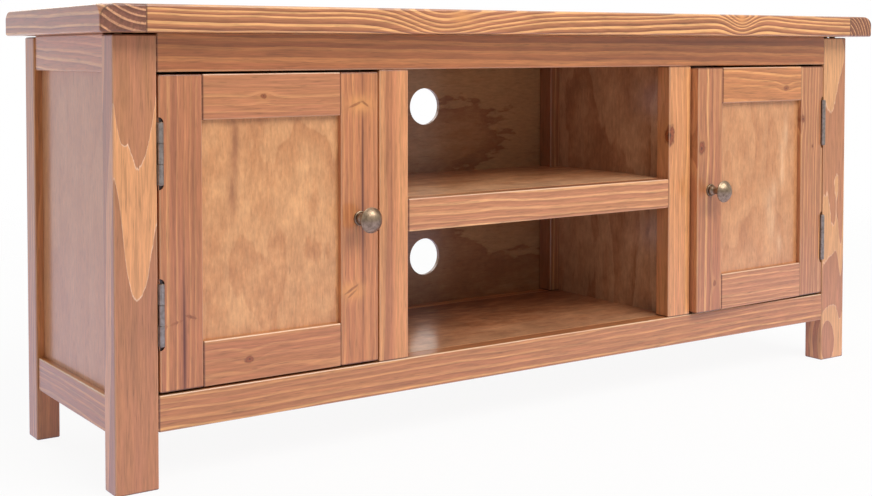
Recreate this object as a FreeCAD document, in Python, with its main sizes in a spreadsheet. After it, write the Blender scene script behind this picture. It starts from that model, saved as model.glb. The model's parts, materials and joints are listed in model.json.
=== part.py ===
"""Low pine television stand: two framed doors beside an open bay with a shelf.

The frame is +Z up and +Y towards the back. The origin is on the floor, under the middle of the
whole object's box, the knobs included. All sizes are in millimetres and degrees.
"""
import FreeCAD, Part
import Sketcher
import math
import os
import re

# Driving dimensions: name, value and what it measures
SIZES = {
    "legs_width": (1158.0, "width over the outer faces of the legs"),
    "legs_depth": (255.0, "depth over the outer faces of the legs"),
    "under_top": (470.0, "height of the underside of the top"),
    "leg_top_gap": (1.5, "shadow gap between a leg and the top"),
    "front_leg_width": (48.5, "width of a front leg"),
    "leg_thick": (28.0, "depth of every leg, and width of a rear leg"),
    "edge_ease": (1.8, "rounding of the boards' edges"),
    "top_thick": (28.5, "thickness of the top"),
    "top_side_overhang": (23.5, "top past the legs at each end"),
    "top_front_overhang": (25.5, "top past the front legs"),
    "top_rear_overhang": (1.0, "top past the rear legs"),
    "top_cleat_width": (49.0, "width of the cross-grain board at each end of the top"),
    "top_ease": (3.0, "rounding of the top's outer edges"),
    "corner_round": (13.0, "radius of the rubbed-down upper corners of the top"),
    "corner_inset": (1.3, "how far a rubbed-down corner stands inside the sharp one"),
    "rail_thick": (20.0, "thickness of the frame rails"),
    "top_rail_height": (40.0, "height of the rails under the top"),
    "bottom_rail_foot": (59.0, "height of the bottom rails above the floor"),
    "bottom_rail_height": (38.0, "height of the bottom rails"),
    "side_rail_recess": (2.0, "side rails behind the legs' outer faces"),
    "side_panel_recess": (10.0, "side panels behind the legs' outer faces"),
    "panel_thick": (6.0, "thickness of the side and divider panels"),
    "groove_depth": (8.0, "depth of the panel grooves"),
    "groove_play": (0.15, "room on each face of a panel in its groove"),
    "groove_end_play": (1.0, "room at the edge of a panel in its groove"),
    "centre_bay": (426.0, "width of the open bay between the mid stiles"),
    "mid_stile_width": (40.5, "width of the mid stiles"),
    "mid_stile_thick": (22.0, "depth of the mid stiles"),
    "rear_stile_thick": (24.0, "depth of the stiles at the back of the dividers"),
    "back_thick": (5.0, "thickness of the back panel"),
    "back_rebate": (10.0, "width of the rebate in a rear leg for the back panel"),
    "floor_thick": (15.0, "thickness of the floor panel"),
    "fit_play": (0.4, "room round panels that are notched to other boards"),
    "shelf_height": (281.0, "height of the shelf's upper face"),
    "shelf_thick": (14.0, "thickness of the shelf"),
    "shelf_rail_height": (38.0, "height of the rail in front of the shelf"),
    "shelf_cleat_height": (22.0, "height of the cleats under the shelf"),
    "floor_cleat_side": (18.0, "side of the square cleats under the floor panel"),
    "cable_hole_radius": (25.5, "radius of the cable holes"),
    "upper_hole_height": (374.0, "height of the upper cable hole's centre"),
    "lower_hole_height": (163.0, "height of the lower cable hole's centre"),
    "dowel_radius": (4.0, "radius of the dowels"),
    "dowel_reach": (20.0, "length of a dowel in each board"),
    "dowel_play": (0.05, "radial room round a dowel"),
    "dowel_end_play": (0.5, "room at the end of a dowel"),
    "dowel_wall": (1.2, "wood between a dowel and the next dowel or groove"),
    "stile_dowel_spread": (10.0, "dowels either side of a mid stile's middle"),
    "door_gap": (2.0, "gap beside a door"),
    "door_end_gap": (2.5, "gap above and below a door"),
    "door_thick": (18.0, "thickness of a door frame"),
    "door_stile_width": (50.0, "width of a door stile"),
    "door_rail_height": (48.0, "height of a door rail"),
    "door_panel_recess": (6.5, "door panel behind the door's front face"),
    "door_panel_thick": (5.0, "thickness of a door panel"),
    "door_near_dowel": (16.0, "first dowel from a door rail's inner edge"),
    "door_far_dowel": (34.0, "second dowel from a door rail's inner edge"),
    "left_door_ajar": (0.0, "opening of the left door at rest, in degrees"),
    "right_door_ajar": (2.3, "opening of the right door at rest, in degrees"),
    "hinge_length": (64.0, "length of a hinge barrel"),
    "hinge_end_distance": (81.0, "hinge centre from the door's end"),
    "barrel_radius": (3.2, "radius of a hinge barrel"),
    "barrel_room": (0.2, "room between a hinge barrel and the leg's inner face"),
    "axis_proud": (1.2, "hinge axis in front of the door's face"),
    "leaf_thick": (0.8, "thickness of a hinge leaf"),
    "leaf_depth": (17.0, "hinge leaf behind the hinge axis"),
    "knuckle_gap": (0.2, "gap between two knuckles"),
    "knuckle_room": (0.4, "room between a knuckle and the other leaf"),
    "pin_radius": (1.5, "radius of a hinge pin"),
    "pin_play": (0.05, "radial running room of a hinge pin"),
    "pin_head_radius": (2.4, "radius of a hinge pin's ends"),
    "pin_head_thick": (0.8, "thickness of a hinge pin's ends"),
    "notch_room": (0.7, "room round a barrel in the door's notch"),
    "screw_radius": (1.5, "radius of the wood screws"),
    "screw_head_radius": (3.0, "radius of a screw's head"),
    "screw_head_depth": (1.5, "depth of a screw's tapered head"),
    "screw_length": (18.0, "length of the wood screws"),
    "screw_play": (0.05, "radial room round a screw"),
    "hinge_screw_spread": (20.0, "hinge screws above and below the hinge's middle"),
    "hinge_screw_depth": (11.5, "hinge screws behind the hinge axis"),
    "top_screw_bite": (18.0, "length of a top screw in the top"),
    "top_screw_inset": (25.0, "top screws from the ends of the cross rails"),
    "knob_reach": (30.5, "knob in front of the door"),
    "knob_rim_radius": (14.5, "radius of the knob's head"),
    "knob_rim_reach": (22.5, "widest part of the knob's head in front of the door"),
    "knob_flare_reach": (13.5, "where the knob's neck begins to flare"),
    "knob_neck_radius": (5.0, "radius of the knob's neck"),
    "knob_base_radius": (8.4, "radius of the knob's rosette"),
    "knob_base_thick": (3.0, "thickness of the knob's rosette"),
    "knob_screw_radius": (2.0, "radius of the knob's machine screw"),
    "knob_screw_bite": (10.0, "length of the knob's screw in the knob"),
    "knob_screw_head_radius": (4.0, "radius of the knob screw's head"),
    "knob_screw_head_thick": (2.6, "thickness of the knob screw's head"),
    "catch_width": (40.0, "width of a magnetic catch"),
    "catch_inset": (14.0, "catch from the mid stile"),
    "catch_depth": (10.0, "depth of a catch body"),
    "catch_above": (16.0, "catch body above the top rail's lower edge"),
    "catch_below": (18.0, "catch body below the top rail's lower edge"),
    "catch_screw_inset": (8.0, "catch screws from the ends and the top of the catch body"),
    "catch_gap": (0.6, "gap between a catch and the plate of a shut door"),
    "catch_plate_thick": (1.4, "thickness of the steel plate on the door"),
    "catch_plate_height": (13.0, "height of the steel plate on the door"),
}

# Places and sizes that follow from the driving dimensions
DERIVED = {
    "half_width": "legs_width / 2",
    "leg_inner": "half_width - front_leg_width",
    "rear_leg_inner": "half_width - leg_thick",
    "half_bay": "centre_bay / 2",
    "stile_outer": "half_bay + mid_stile_width",
    "stile_middle": "half_bay + mid_stile_width / 2",
    "dome_height": "knob_reach - knob_rim_reach",
    "dome_radius": "(knob_rim_radius * knob_rim_radius + dome_height * dome_height) / (2 * dome_height)",
    "ajar_most": "max(left_door_ajar, right_door_ajar)",
    "knob_lever": "door_free_edge - door_stile_width / 2",
    "front_reach": "axis_proud + knob_lever * sin(ajar_most)"
                   " + (knob_reach - dome_radius - axis_proud) * cos(ajar_most) + dome_radius",
    "front": "(front_reach - legs_depth - top_rear_overhang) / 2",
    "back": "front + legs_depth",
    "rail_back": "front + rail_thick",
    "front_leg_back": "front + leg_thick",
    "rear_leg_front": "back - leg_thick",
    "back_panel_front": "back - back_thick",
    "rear_rail_front": "back_panel_front - rail_thick",
    "rear_stile_front": "back_panel_front - rear_stile_thick",
    "mid_stile_back": "front + mid_stile_thick",
    "floor_top": "bottom_rail_foot + bottom_rail_height",
    "floor_under": "floor_top - floor_thick",
    "top_rail_under": "under_top - top_rail_height",
    "leg_top": "under_top - leg_top_gap",
    "tongue": "groove_depth - groove_end_play",
    "side_rail_outer": "half_width - side_rail_recess",
    "side_rail_inner": "side_rail_outer - rail_thick",
    "side_rail_middle": "side_rail_outer - rail_thick / 2",
    "side_panel_outer": "half_width - side_panel_recess",
    "side_panel_inner": "side_panel_outer - panel_thick",
    "divider_inner": "stile_middle - panel_thick / 2",
    "divider_outer": "stile_middle + panel_thick / 2",
    "shelf_under": "shelf_height - shelf_thick",
    "shelf_dowel_line": "front + min(rail_thick / 2, mid_stile_thick - groove_depth - dowel_radius)",
    "top_end": "half_width + top_side_overhang",
    "top_joint": "top_end - top_cleat_width",
    "top_front": "front - top_front_overhang",
    "top_back": "back + top_rear_overhang",
    "plank_width": "(top_back - top_front) / 3",
    "top_upper": "under_top + top_thick",
    "corner_block": "2 * corner_round",
    "corner_run": "6 * corner_round",
    "leg_dowel_line": "(half_width + top_joint) / 2",
    "near_dowel": "groove_depth + dowel_radius + dowel_wall",
    "far_dowel": "near_dowel + 2 * dowel_radius + dowel_wall",
    "leg_end_reach": "top_rail_height - far_dowel - dowel_radius - dowel_wall - dowel_end_play",
    "rear_leg_reach": "side_rail_middle - dowel_radius - dowel_wall - dowel_end_play - rear_leg_inner",
    "barrel_inset": "barrel_radius + barrel_room",
    "hinge_line": "leg_inner - barrel_inset",
    "door_edge": "door_gap - barrel_inset",
    "door_width": "leg_inner - stile_outer - 2 * door_gap",
    "door_free_edge": "door_edge + door_width",
    "door_low": "floor_top + door_end_gap",
    "door_high": "top_rail_under - door_end_gap",
    "door_middle": "(door_low + door_high) / 2",
    "door_face": "axis_proud",
    "door_back": "axis_proud + door_thick",
    "door_panel_face": "axis_proud + door_panel_recess",
    "door_panel_back": "door_panel_face + door_panel_thick",
    "hinge_stile_inner": "door_edge + door_stile_width",
    "knob_stile_inner": "door_free_edge - door_stile_width",
    "door_rail_low_inner": "door_low + door_rail_height",
    "door_rail_high_inner": "door_high - door_rail_height",
    "low_hinge": "door_low + hinge_end_distance",
    "high_hinge": "door_high - hinge_end_distance",
    "half_hinge": "hinge_length / 2",
    "knuckle_length": "(hinge_length - 2 * knuckle_gap) / 3",
    "notch_width": "barrel_radius + notch_room - door_edge",
    "notch_back": "barrel_radius + notch_room",
    "frame_leaf_window": "sqrt((barrel_radius + knuckle_room)^2 - (barrel_inset - leaf_thick)^2)",
    "door_leaf_window": "sqrt((barrel_radius + knuckle_room)^2 - door_edge^2)",
    "catch_near": "stile_outer + catch_inset",
    "catch_far": "catch_near + catch_width",
    "catch_face": "front + door_thick + catch_plate_thick + catch_gap",
    "catch_back": "rail_back + catch_depth",
    "plate_far": "door_free_edge - (catch_inset - door_gap)",
    "plate_near": "plate_far - catch_width",
    "plate_low": "top_rail_under - catch_below",
}

LEFT, RIGHT = -1, 1
SIDES = {"left": LEFT, "right": RIGHT}
HEADINGS = {
    "+x": FreeCAD.Vector(1, 0, 0), "-x": FreeCAD.Vector(-1, 0, 0),
    "+y": FreeCAD.Vector(0, 1, 0), "-y": FreeCAD.Vector(0, -1, 0),
    "+z": FreeCAD.Vector(0, 0, 1), "-z": FreeCAD.Vector(0, 0, -1),
}
UP = FreeCAD.Vector(0, 0, 1)
ON_HINGE_AXIS = ("0", "0", "0")

# Places of a row's screws through the back panel, as shares of half a rear rail
BACK_SCREW_SHARES = (-0.9, -0.45, 0, 0.45, 0.9)

doc = FreeCAD.newDocument("television_stand")
sheet = doc.addObject("Spreadsheet::Sheet", "sizes")
for row, (alias, (value, words)) in enumerate(SIZES.items(), start=1):
    sheet.set(f"A{row}", words)
    sheet.set(f"B{row}", str(value))
    sheet.setAlias(f"B{row}", alias)
doc.recompute()

nodes = {}
boards = {}


def formula(text):
    """Writes out the derived names in a formula, and points the driving ones at the sheet."""
    def written_out(match):
        word = match.group(0)
        if word in DERIVED:
            return f"({formula(DERIVED[word])})"
        return f"sizes.{word}" if word in SIZES else word
    return re.sub(r"[a-z][a-z_]*", written_out, text)


def bind(target, path, text):
    """Binds one property of an object to a formula."""
    target.setExpression(path, formula(text))


def put(target, place, path="Placement"):
    """Binds an object's position to three formulas."""
    for axis, text in zip("xyz", place):
        bind(target, f"{path}.Base.{axis}", text)


def span(side, near, far):
    """Gives the low and high formulas of a stretch that is mirrored for the left side."""
    return (near, far) if side == RIGHT else (f"-({far})", f"-({near})")


def mirrored(side, text):
    """Gives the formula of a place that is mirrored for the left side."""
    return text if side == RIGHT else f"-({text})"


class Seat:
    """Where a group of pieces hangs: a point, and for a door its opening at rest."""

    def __init__(self, place, turn=None):
        self.place = place
        self.turn = turn

    def hold(self, piece):
        """Binds a piece's placement to this seat."""
        if self.turn:
            # Only the axis of this turn is kept, because the angle follows its formula
            piece.Placement = FreeCAD.Placement(FreeCAD.Vector(), FreeCAD.Rotation(UP, 1))
            bind(piece, "Placement.Rotation.Angle", self.turn)
        put(piece, self.place)


class Board:
    """A rectangular piece with eased edges, and the grooves, notches and holes cut in it."""

    def __init__(self, label, low, high, seat=None, ease="edge_ease", plain=None, node=True):
        self.label = label
        self.body = doc.addObject("PartDesign::Body", label)
        self.origin = ON_HINGE_AXIS if seat else low
        self.cuts = 0
        blank = self.body.newObject("PartDesign::AdditiveBox", f"{label}_blank")
        for size, near, far in zip(("Length", "Width", "Height"), low, high):
            bind(blank, size, f"({far}) - ({near})")
        put(blank, self.local(low))
        if ease:
            doc.recompute()
            rounding = self.body.newObject("PartDesign::Fillet", f"{label}_eased")
            rounding.Base = (blank, self.free_edges(blank.Shape, plain or ()))
            bind(rounding, "Radius", ease)
        (seat or Seat(low)).hold(self.body)
        boards[label] = self
        if node:
            nodes[label] = self.body

    def local(self, place):
        """Gives a place measured from this board's own origin."""
        return [f"({text}) - ({start})" for text, start in zip(place, self.origin)]

    def free_edges(self, shape, plain):
        """Names the blank's edges, leaving out those on a plain side, such as "-x"."""
        box = shape.BoundBox
        reach = {"-x": box.XMin, "+x": box.XMax, "-y": box.YMin, "+y": box.YMax,
                 "-z": box.ZMin, "+z": box.ZMax}

        def on(edge, side):
            axis = side[1]
            return math.isclose(getattr(edge.CenterOfMass, axis), reach[side], abs_tol=1e-6)

        return [f"Edge{number}" for number, edge in enumerate(shape.Edges, start=1)
                if not any(on(edge, side) for side in plain)]

    def feature(self, kind, place, heading="+z", **sizes):
        """Adds a plain block, cylinder or cone to the board, or cuts it away, at a place."""
        self.cuts += 1
        made = self.body.newObject(f"PartDesign::{kind}", f"{self.label}_cut_{self.cuts}")
        for name, text in sizes.items():
            bind(made, name, text)
        made.Placement = FreeCAD.Placement(FreeCAD.Vector(), FreeCAD.Rotation(UP, HEADINGS[heading]))
        put(made, self.local(place))
        return made

    def cut_box(self, low, high):
        """Cuts a groove, rebate or notch between two corners."""
        length, width, height = (f"({far}) - ({near})" for near, far in zip(low, high))
        self.feature("SubtractiveBox", low, Length=length, Width=width, Height=height)

    def drill(self, place, heading, radius, depth):
        """Drills a round hole from a place along a heading."""
        self.feature("SubtractiveCylinder", place, heading, Radius=radius, Height=depth)

    def sink_screw(self, place, heading, length="screw_length"):
        """Drills and countersinks for a screw whose head is flush at a place."""
        self.feature("SubtractiveCone", place, heading, Radius1="screw_head_radius + screw_play",
                     Radius2="screw_radius + screw_play", Height="screw_head_depth")
        self.drill(place, heading, "screw_radius + screw_play", f"{length} + dowel_end_play")


def rod(name, place, heading, radius, length):
    """Makes a plain round rod from a place along a heading."""
    piece = doc.addObject("Part::Cylinder", name)
    bind(piece, "Radius", radius)
    bind(piece, "Height", length)
    piece.Placement = FreeCAD.Placement(FreeCAD.Vector(), FreeCAD.Rotation(UP, HEADINGS[heading]))
    put(piece, place)
    return piece


def further(place, heading, distance):
    """Gives a place moved along a heading."""
    axis = "xyz".index(heading[1])
    moved = list(place)
    moved[axis] = f"({place[axis]}) {heading[0]} ({distance})"
    return moved


def opposite(heading):
    """Gives the heading that points the other way."""
    return ("-" if heading[0] == "+" else "+") + heading[1]


def joined(kind, name, pieces):
    """Joins pieces into one object, as a fusion or as a loose group."""
    made = doc.addObject(kind, name)
    if kind == "Part::Compound":
        made.Links = pieces
    else:
        made.Shapes = pieces
    return made


def group(label, pieces, seat=None):
    """Makes one node from separate like pieces."""
    bundle = joined("Part::Compound", label, pieces)
    if seat:
        seat.hold(bundle)
    nodes[label] = bundle


def dowel(pegs, place, heading, behind, ahead, reach_behind="dowel_reach", reach_ahead="dowel_reach"):
    """Adds a dowel across the joint at a place, and drills the board on each side for it."""
    start = further(place, opposite(heading), reach_behind)
    name = f"dowel_{behind}_{ahead}_{len(pegs)}"
    pegs.append(rod(name, start, heading, "dowel_radius", f"{reach_behind} + {reach_ahead}"))
    hole = "dowel_radius + dowel_play"
    boards[behind].drill(place, opposite(heading), hole, f"{reach_behind} + dowel_end_play")
    boards[ahead].drill(place, heading, hole, f"{reach_ahead} + dowel_end_play")


def screw(screws, name, place, heading, sunk, drilled=(), length="screw_length"):
    """Adds a countersunk screw flush at a place; boards are countersunk or only drilled for it."""
    head = doc.addObject("Part::Cone", f"{name}_head")
    bind(head, "Radius1", "screw_head_radius")
    bind(head, "Radius2", "screw_radius")
    bind(head, "Height", "screw_head_depth")
    head.Placement = FreeCAD.Placement(FreeCAD.Vector(), FreeCAD.Rotation(UP, HEADINGS[heading]))
    put(head, place)
    neck = further(place, heading, "screw_head_depth")
    shank = rod(f"{name}_shank", neck, heading, "screw_radius", f"{length} - screw_head_depth")
    screws.append(joined("Part::MultiFuse", name, [head, shank]))
    for label in sunk:
        boards[label].sink_screw(place, heading, length)
    for label in drilled:
        boards[label].drill(place, heading, "screw_radius + screw_play", f"{length} + dowel_end_play")


def rail_dowels(edge, towards):
    """Gives the heights of a rail's two dowels, from its edge that faces the panel."""
    return [f"{edge} {towards} near_dowel", f"{edge} {towards} far_dowel"]


def build_legs():
    """Four legs; the rear ones are rebated for the back panel, all are grooved for a side panel."""
    for word, side in SIDES.items():
        low_x, high_x = span(side, "leg_inner", "half_width")
        leg = Board(f"front_{word}_leg", (low_x, "front", "0"), (high_x, "front_leg_back", "leg_top"))
        groove_low, groove_high = span(side, "side_panel_inner - groove_play",
                                       "side_panel_outer + groove_play")
        leg.cut_box((groove_low, "front_leg_back - groove_depth", "floor_top - groove_depth"),
                    (groove_high, "front_leg_back", "top_rail_under + groove_depth"))
        low_x, high_x = span(side, "rear_leg_inner", "half_width")
        leg = Board(f"rear_{word}_leg", (low_x, "rear_leg_front", "0"), (high_x, "back", "leg_top"))
        leg.cut_box((groove_low, "rear_leg_front", "floor_top - groove_depth"),
                    (groove_high, "rear_leg_front + groove_depth", "top_rail_under + groove_depth"))
        rebate_low, rebate_high = span(side, "rear_leg_inner", "rear_leg_inner + back_rebate + fit_play")
        leg.cut_box((rebate_low, "back_panel_front", "bottom_rail_foot - fit_play"),
                    (rebate_high, "back", "leg_top"))


def build_sides(pegs):
    """Each side: two rails doweled between its legs, and a panel held in their grooves."""
    for word, side in SIDES.items():
        low_x, high_x = span(side, "side_rail_inner", "side_rail_outer")
        groove_low, groove_high = span(side, "side_panel_inner - groove_play",
                                       "side_panel_outer + groove_play")
        top_rail = Board(f"{word}_side_top_rail", (low_x, "front_leg_back", "top_rail_under"),
                         (high_x, "rear_leg_front", "under_top"))
        top_rail.cut_box((groove_low, "front_leg_back", "top_rail_under"),
                         (groove_high, "rear_leg_front", "top_rail_under + groove_depth"))
        bottom_rail = Board(f"{word}_side_bottom_rail", (low_x, "front_leg_back", "bottom_rail_foot"),
                            (high_x, "rear_leg_front", "floor_top"))
        bottom_rail.cut_box((groove_low, "front_leg_back", "floor_top - groove_depth"),
                            (groove_high, "rear_leg_front", "floor_top"))
        panel_low, panel_high = span(side, "side_panel_inner", "side_panel_outer")
        Board(f"{word}_side_panel", (panel_low, "front_leg_back - tongue", "floor_top - tongue"),
              (panel_high, "rear_leg_front + tongue", "top_rail_under + tongue"), ease=None)
        line = mirrored(side, "side_rail_middle")
        heights = {f"{word}_side_top_rail": rail_dowels("top_rail_under", "+"),
                   f"{word}_side_bottom_rail": rail_dowels("floor_top", "-")}
        for rail, levels in heights.items():
            for level in levels:
                dowel(pegs, (line, "front_leg_back", level), "+y", f"front_{word}_leg", rail)
                dowel(pegs, (line, "rear_leg_front", level), "+y", rail, f"rear_{word}_leg")


def build_long_rails(pegs):
    """Front and rear rails between the legs, under the top and at the floor panel."""
    rows = {
        "front": ("front", "rail_back", "leg_inner", "dowel_reach"),
        "rear": ("rear_rail_front", "back_panel_front", "rear_leg_inner", "rear_leg_reach"),
    }
    levels = {
        "top": ("top_rail_under", "under_top", rail_dowels("top_rail_under", "+")),
        "bottom": ("bottom_rail_foot", "floor_top", rail_dowels("floor_top", "-")),
    }
    for row, (near, far, end, leg_reach) in rows.items():
        for level, (low, high, heights) in levels.items():
            rail = f"{row}_{level}_rail"
            Board(rail, (f"-({end})", near, low), (end, far, high))
            for height in heights:
                middle = f"{near} + rail_thick / 2"
                dowel(pegs, (f"-({end})", middle, height), "+x", f"{row}_left_leg", rail, leg_reach)
                dowel(pegs, (end, middle, height), "+x", rail, f"{row}_right_leg", "dowel_reach", leg_reach)


def build_back_and_floor():
    """The back panel with its cable holes, and the floor panel on its cleats."""
    half_back = "rear_leg_inner + back_rebate"
    back_panel = Board("back_panel", (f"-({half_back})", "back_panel_front", "bottom_rail_foot"),
                       (half_back, "back", "under_top"), ease=None)
    for height in ("upper_hole_height", "lower_hole_height"):
        back_panel.drill(("0", "back_panel_front", height), "+y", "cable_hole_radius", "back_thick")
    floor_panel = Board("floor_panel", ("-(side_rail_inner)", "rail_back", "floor_under"),
                        ("side_rail_inner", "rear_rail_front", "floor_top"), ease=None)
    for side in SIDES.values():
        low_x, high_x = span(side, "leg_inner - fit_play", "side_rail_inner")
        floor_panel.cut_box((low_x, "front", "floor_under"),
                            (high_x, "front_leg_back + fit_play", "floor_top"))
        low_x, high_x = span(side, "rear_leg_inner - fit_play", "side_rail_inner")
        floor_panel.cut_box((low_x, "rear_leg_front - fit_play", "floor_under"),
                            (high_x, "back", "floor_top"))
    foot = "floor_under - floor_cleat_side"
    front_end = "leg_inner - fit_play"
    rear_end = "rear_leg_inner - fit_play"
    cleats = [
        Board("front_floor_cleat", (f"-({front_end})", "rail_back", foot),
              (front_end, "rail_back + floor_cleat_side", "floor_under"), node=False),
        Board("rear_floor_cleat", (f"-({rear_end})", "rear_rail_front - floor_cleat_side", foot),
              (rear_end, "rear_rail_front", "floor_under"), node=False),
    ]
    group("floor_cleats", [cleat.body for cleat in cleats])


def build_dividers(pegs):
    """Two dividers: a mid stile, a panel in its groove, a rear stile and a cross rail above."""
    cross_rails = []
    for word, side in SIDES.items():
        low_x, high_x = span(side, "half_bay", "stile_outer")
        stile = Board(f"{word}_mid_stile", (low_x, "front", "floor_top"),
                      (high_x, "mid_stile_back", "top_rail_under"))
        rear = Board(f"{word}_divider_rear_stile", (low_x, "rear_stile_front", "floor_top"),
                     (high_x, "back_panel_front", "top_rail_under"))
        groove_low, groove_high = span(side, "divider_inner - groove_play", "divider_outer + groove_play")
        stile.cut_box((groove_low, "mid_stile_back - groove_depth", "floor_top"),
                      (groove_high, "mid_stile_back", "top_rail_under"))
        rear.cut_box((groove_low, "rear_stile_front", "floor_top"),
                     (groove_high, "rear_stile_front + groove_depth", "top_rail_under"))
        panel_low, panel_high = span(side, "divider_inner", "divider_outer")
        Board(f"{word}_divider_panel", (panel_low, "mid_stile_back - tongue", "floor_top"),
              (panel_high, "rear_stile_front + tongue", "top_rail_under"), ease=None)
        cross_low, cross_high = span(side, "stile_middle - rail_thick / 2", "stile_middle + rail_thick / 2")
        cross_rails.append(Board(f"{word}_cross_rail", (cross_low, "rail_back", "top_rail_under"),
                                 (cross_high, "rear_rail_front", "under_top"), node=False))
        for spread in ("+ stile_dowel_spread", "- stile_dowel_spread"):
            line = mirrored(side, f"stile_middle {spread}")
            middle = "front + rail_thick / 2"
            dowel(pegs, (line, middle, "top_rail_under"), "+z", f"{word}_mid_stile", "front_top_rail")
            dowel(pegs, (line, middle, "floor_top"), "+z", "front_bottom_rail", f"{word}_mid_stile")
    group("cross_rails", [rail.body for rail in cross_rails])


def build_shelf(pegs):
    """The shelf of the open bay, the rail in front of it and the cleats that carry it."""
    Board("shelf_rail", ("-(half_bay)", "front", "shelf_height - shelf_rail_height"),
          ("half_bay", "rail_back", "shelf_height"))
    for height in rail_dowels("shelf_height", "-"):
        dowel(pegs, ("-(half_bay)", "shelf_dowel_line", height), "+x", "left_mid_stile", "shelf_rail")
        dowel(pegs, ("half_bay", "shelf_dowel_line", height), "+x", "shelf_rail", "right_mid_stile")
    half_shelf = "divider_inner - fit_play"
    shelf = Board("shelf_panel", (f"-({half_shelf})", "rail_back", "shelf_under"),
                  (half_shelf, "back_panel_front", "shelf_height"), ease=None)
    cleats = []
    for word, side in SIDES.items():
        low_x, high_x = span(side, "half_bay - fit_play", half_shelf)
        shelf.cut_box((low_x, "front", "shelf_under"),
                      (high_x, "mid_stile_back + fit_play", "shelf_height"))
        shelf.cut_box((low_x, "rear_stile_front - fit_play", "shelf_under"),
                      (high_x, "back_panel_front", "shelf_height"))
        low_x, high_x = span(side, "half_bay", "divider_inner")
        cleats.append(Board(f"{word}_shelf_cleat",
                            (low_x, "mid_stile_back", "shelf_under - shelf_cleat_height"),
                            (high_x, "rear_stile_front", "shelf_under"), node=False))
    group("shelf_cleats", [cleat.body for cleat in cleats])


def rubbed_corner(name, side, row):
    """Makes what is rubbed off one upper corner of the top: a block outside a rounded edge."""
    corner_x = mirrored(side, "top_end")
    corner_y = "top_back" if row == "rear" else "top_front"
    back_way = 1 if row == "rear" else -1
    inward = "(corner_round + corner_inset) * sqrt(2) / 2"
    across = "corner_run * sqrt(2) / 4"
    place = (f"{corner_x} - ({side}) * {inward} + ({back_way}) * {across}",
             f"{corner_y} - ({back_way}) * {inward} - ({side}) * {across}",
             "top_upper - corner_round")
    block = doc.addObject("Part::Box", f"{name}_block")
    bind(block, "Length", "corner_block")
    bind(block, "Width", "corner_run")
    bind(block, "Height", "corner_block")
    turn = math.degrees(math.atan2(back_way, side))
    block.Placement = FreeCAD.Placement(FreeCAD.Vector(), FreeCAD.Rotation(UP, turn))
    put(block, place)
    edge = doc.addObject("Part::Cylinder", f"{name}_edge")
    bind(edge, "Radius", "corner_round")
    bind(edge, "Height", "corner_run")
    along = FreeCAD.Vector(-back_way, side, 0)
    edge.Placement = FreeCAD.Placement(FreeCAD.Vector(), FreeCAD.Rotation(UP, along))
    put(edge, place)
    waste = doc.addObject("Part::Cut", name)
    waste.Base = block
    waste.Tool = edge
    return waste


def build_top(pegs):
    """The top: lengthwise planks between two cross-grain end cleats with rubbed-down corners."""
    planks = {
        "top_plank_front": ("top_front", "top_front + plank_width", ("-x", "+x", "+y")),
        "top_plank_middle": ("top_front + plank_width", "top_back - plank_width", None),
        "top_plank_rear": ("top_back - plank_width", "top_back", ("-x", "+x", "-y")),
    }
    for label, (near, far, plain) in planks.items():
        Board(label, ("-(top_joint)", near, "under_top"), ("top_joint", far, "top_upper"),
              ease="top_ease" if plain else None, plain=plain)
    for word, side in SIDES.items():
        low_x, high_x = span(side, "top_joint", "top_end")
        joint_side = "-x" if side == RIGHT else "+x"
        cleat = Board(f"top_end_{word}_blank", (low_x, "top_front", "under_top"),
                      (high_x, "top_back", "top_upper"), ease="top_ease", plain=(joint_side,), node=False)
        for plank, (near, _, _) in planks.items():
            for offset in ("plank_width / 4", "2 * plank_width / 3"):
                place = (mirrored(side, "top_joint"), f"{near} + {offset}", "under_top + top_thick / 2")
                ends = (plank, cleat.label) if side == RIGHT else (cleat.label, plank)
                dowel(pegs, place, "+x", *ends)
        for row, line in (("front", "front + leg_thick / 2"), ("rear", "back - leg_thick / 2")):
            place = (mirrored(side, "leg_dowel_line"), line, "under_top")
            dowel(pegs, place, "+z", f"{row}_{word}_leg", cleat.label, "leg_end_reach")
        waste = [rubbed_corner(f"top_{word}_{row}_corner", side, row) for row in ("front", "rear")]
        finished = doc.addObject("Part::Cut", f"top_end_{word}")
        finished.Base = cleat.body
        finished.Tool = joined("Part::MultiFuse", f"top_{word}_corners", waste)
        nodes[finished.Label] = finished


def build_frame_screws():
    """Screws up into the top, through the back panel, and through the catches."""
    screws = []
    bite = "top_rail_height + top_screw_bite"
    plank_lines = {
        "top_plank_front": "rail_back + top_screw_inset",
        "top_plank_rear": "rear_rail_front - top_screw_inset",
    }
    catch_screws = {"near": "catch_near + catch_screw_inset", "far": "catch_far - catch_screw_inset"}
    rail_lines = {
        "top": "top_rail_under + top_rail_height / 2",
        "bottom": "floor_top - bottom_rail_height / 2",
    }
    for word, side in SIDES.items():
        for plank, line in plank_lines.items():
            place = (mirrored(side, "stile_middle"), line, "top_rail_under")
            screw(screws, f"{word}_{plank}_screw", place, "+z", (f"{word}_cross_rail",), (plank,), bite)
        place = (mirrored(side, "stile_middle - mid_stile_width / 4"), "back", "door_middle")
        screw(screws, f"{word}_stile_screw", place, "-y", ("back_panel",), (f"{word}_divider_rear_stile",))
        for end, line in catch_screws.items():
            place = (mirrored(side, line), "catch_back", "top_rail_under + catch_above - catch_screw_inset")
            screw(screws, f"{word}_{end}_catch_screw", place, "-y", (f"{word}_catch_body",),
                  ("front_top_rail",))
    for level, height in rail_lines.items():
        for number, share in enumerate(BACK_SCREW_SHARES, start=1):
            place = (f"{share} * rear_leg_inner", "back", height)
            screw(screws, f"back_{level}_screw_{number}", place, "-y", ("back_panel",),
                  (f"rear_{level}_rail",))
    group("frame_screws", screws)


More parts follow.
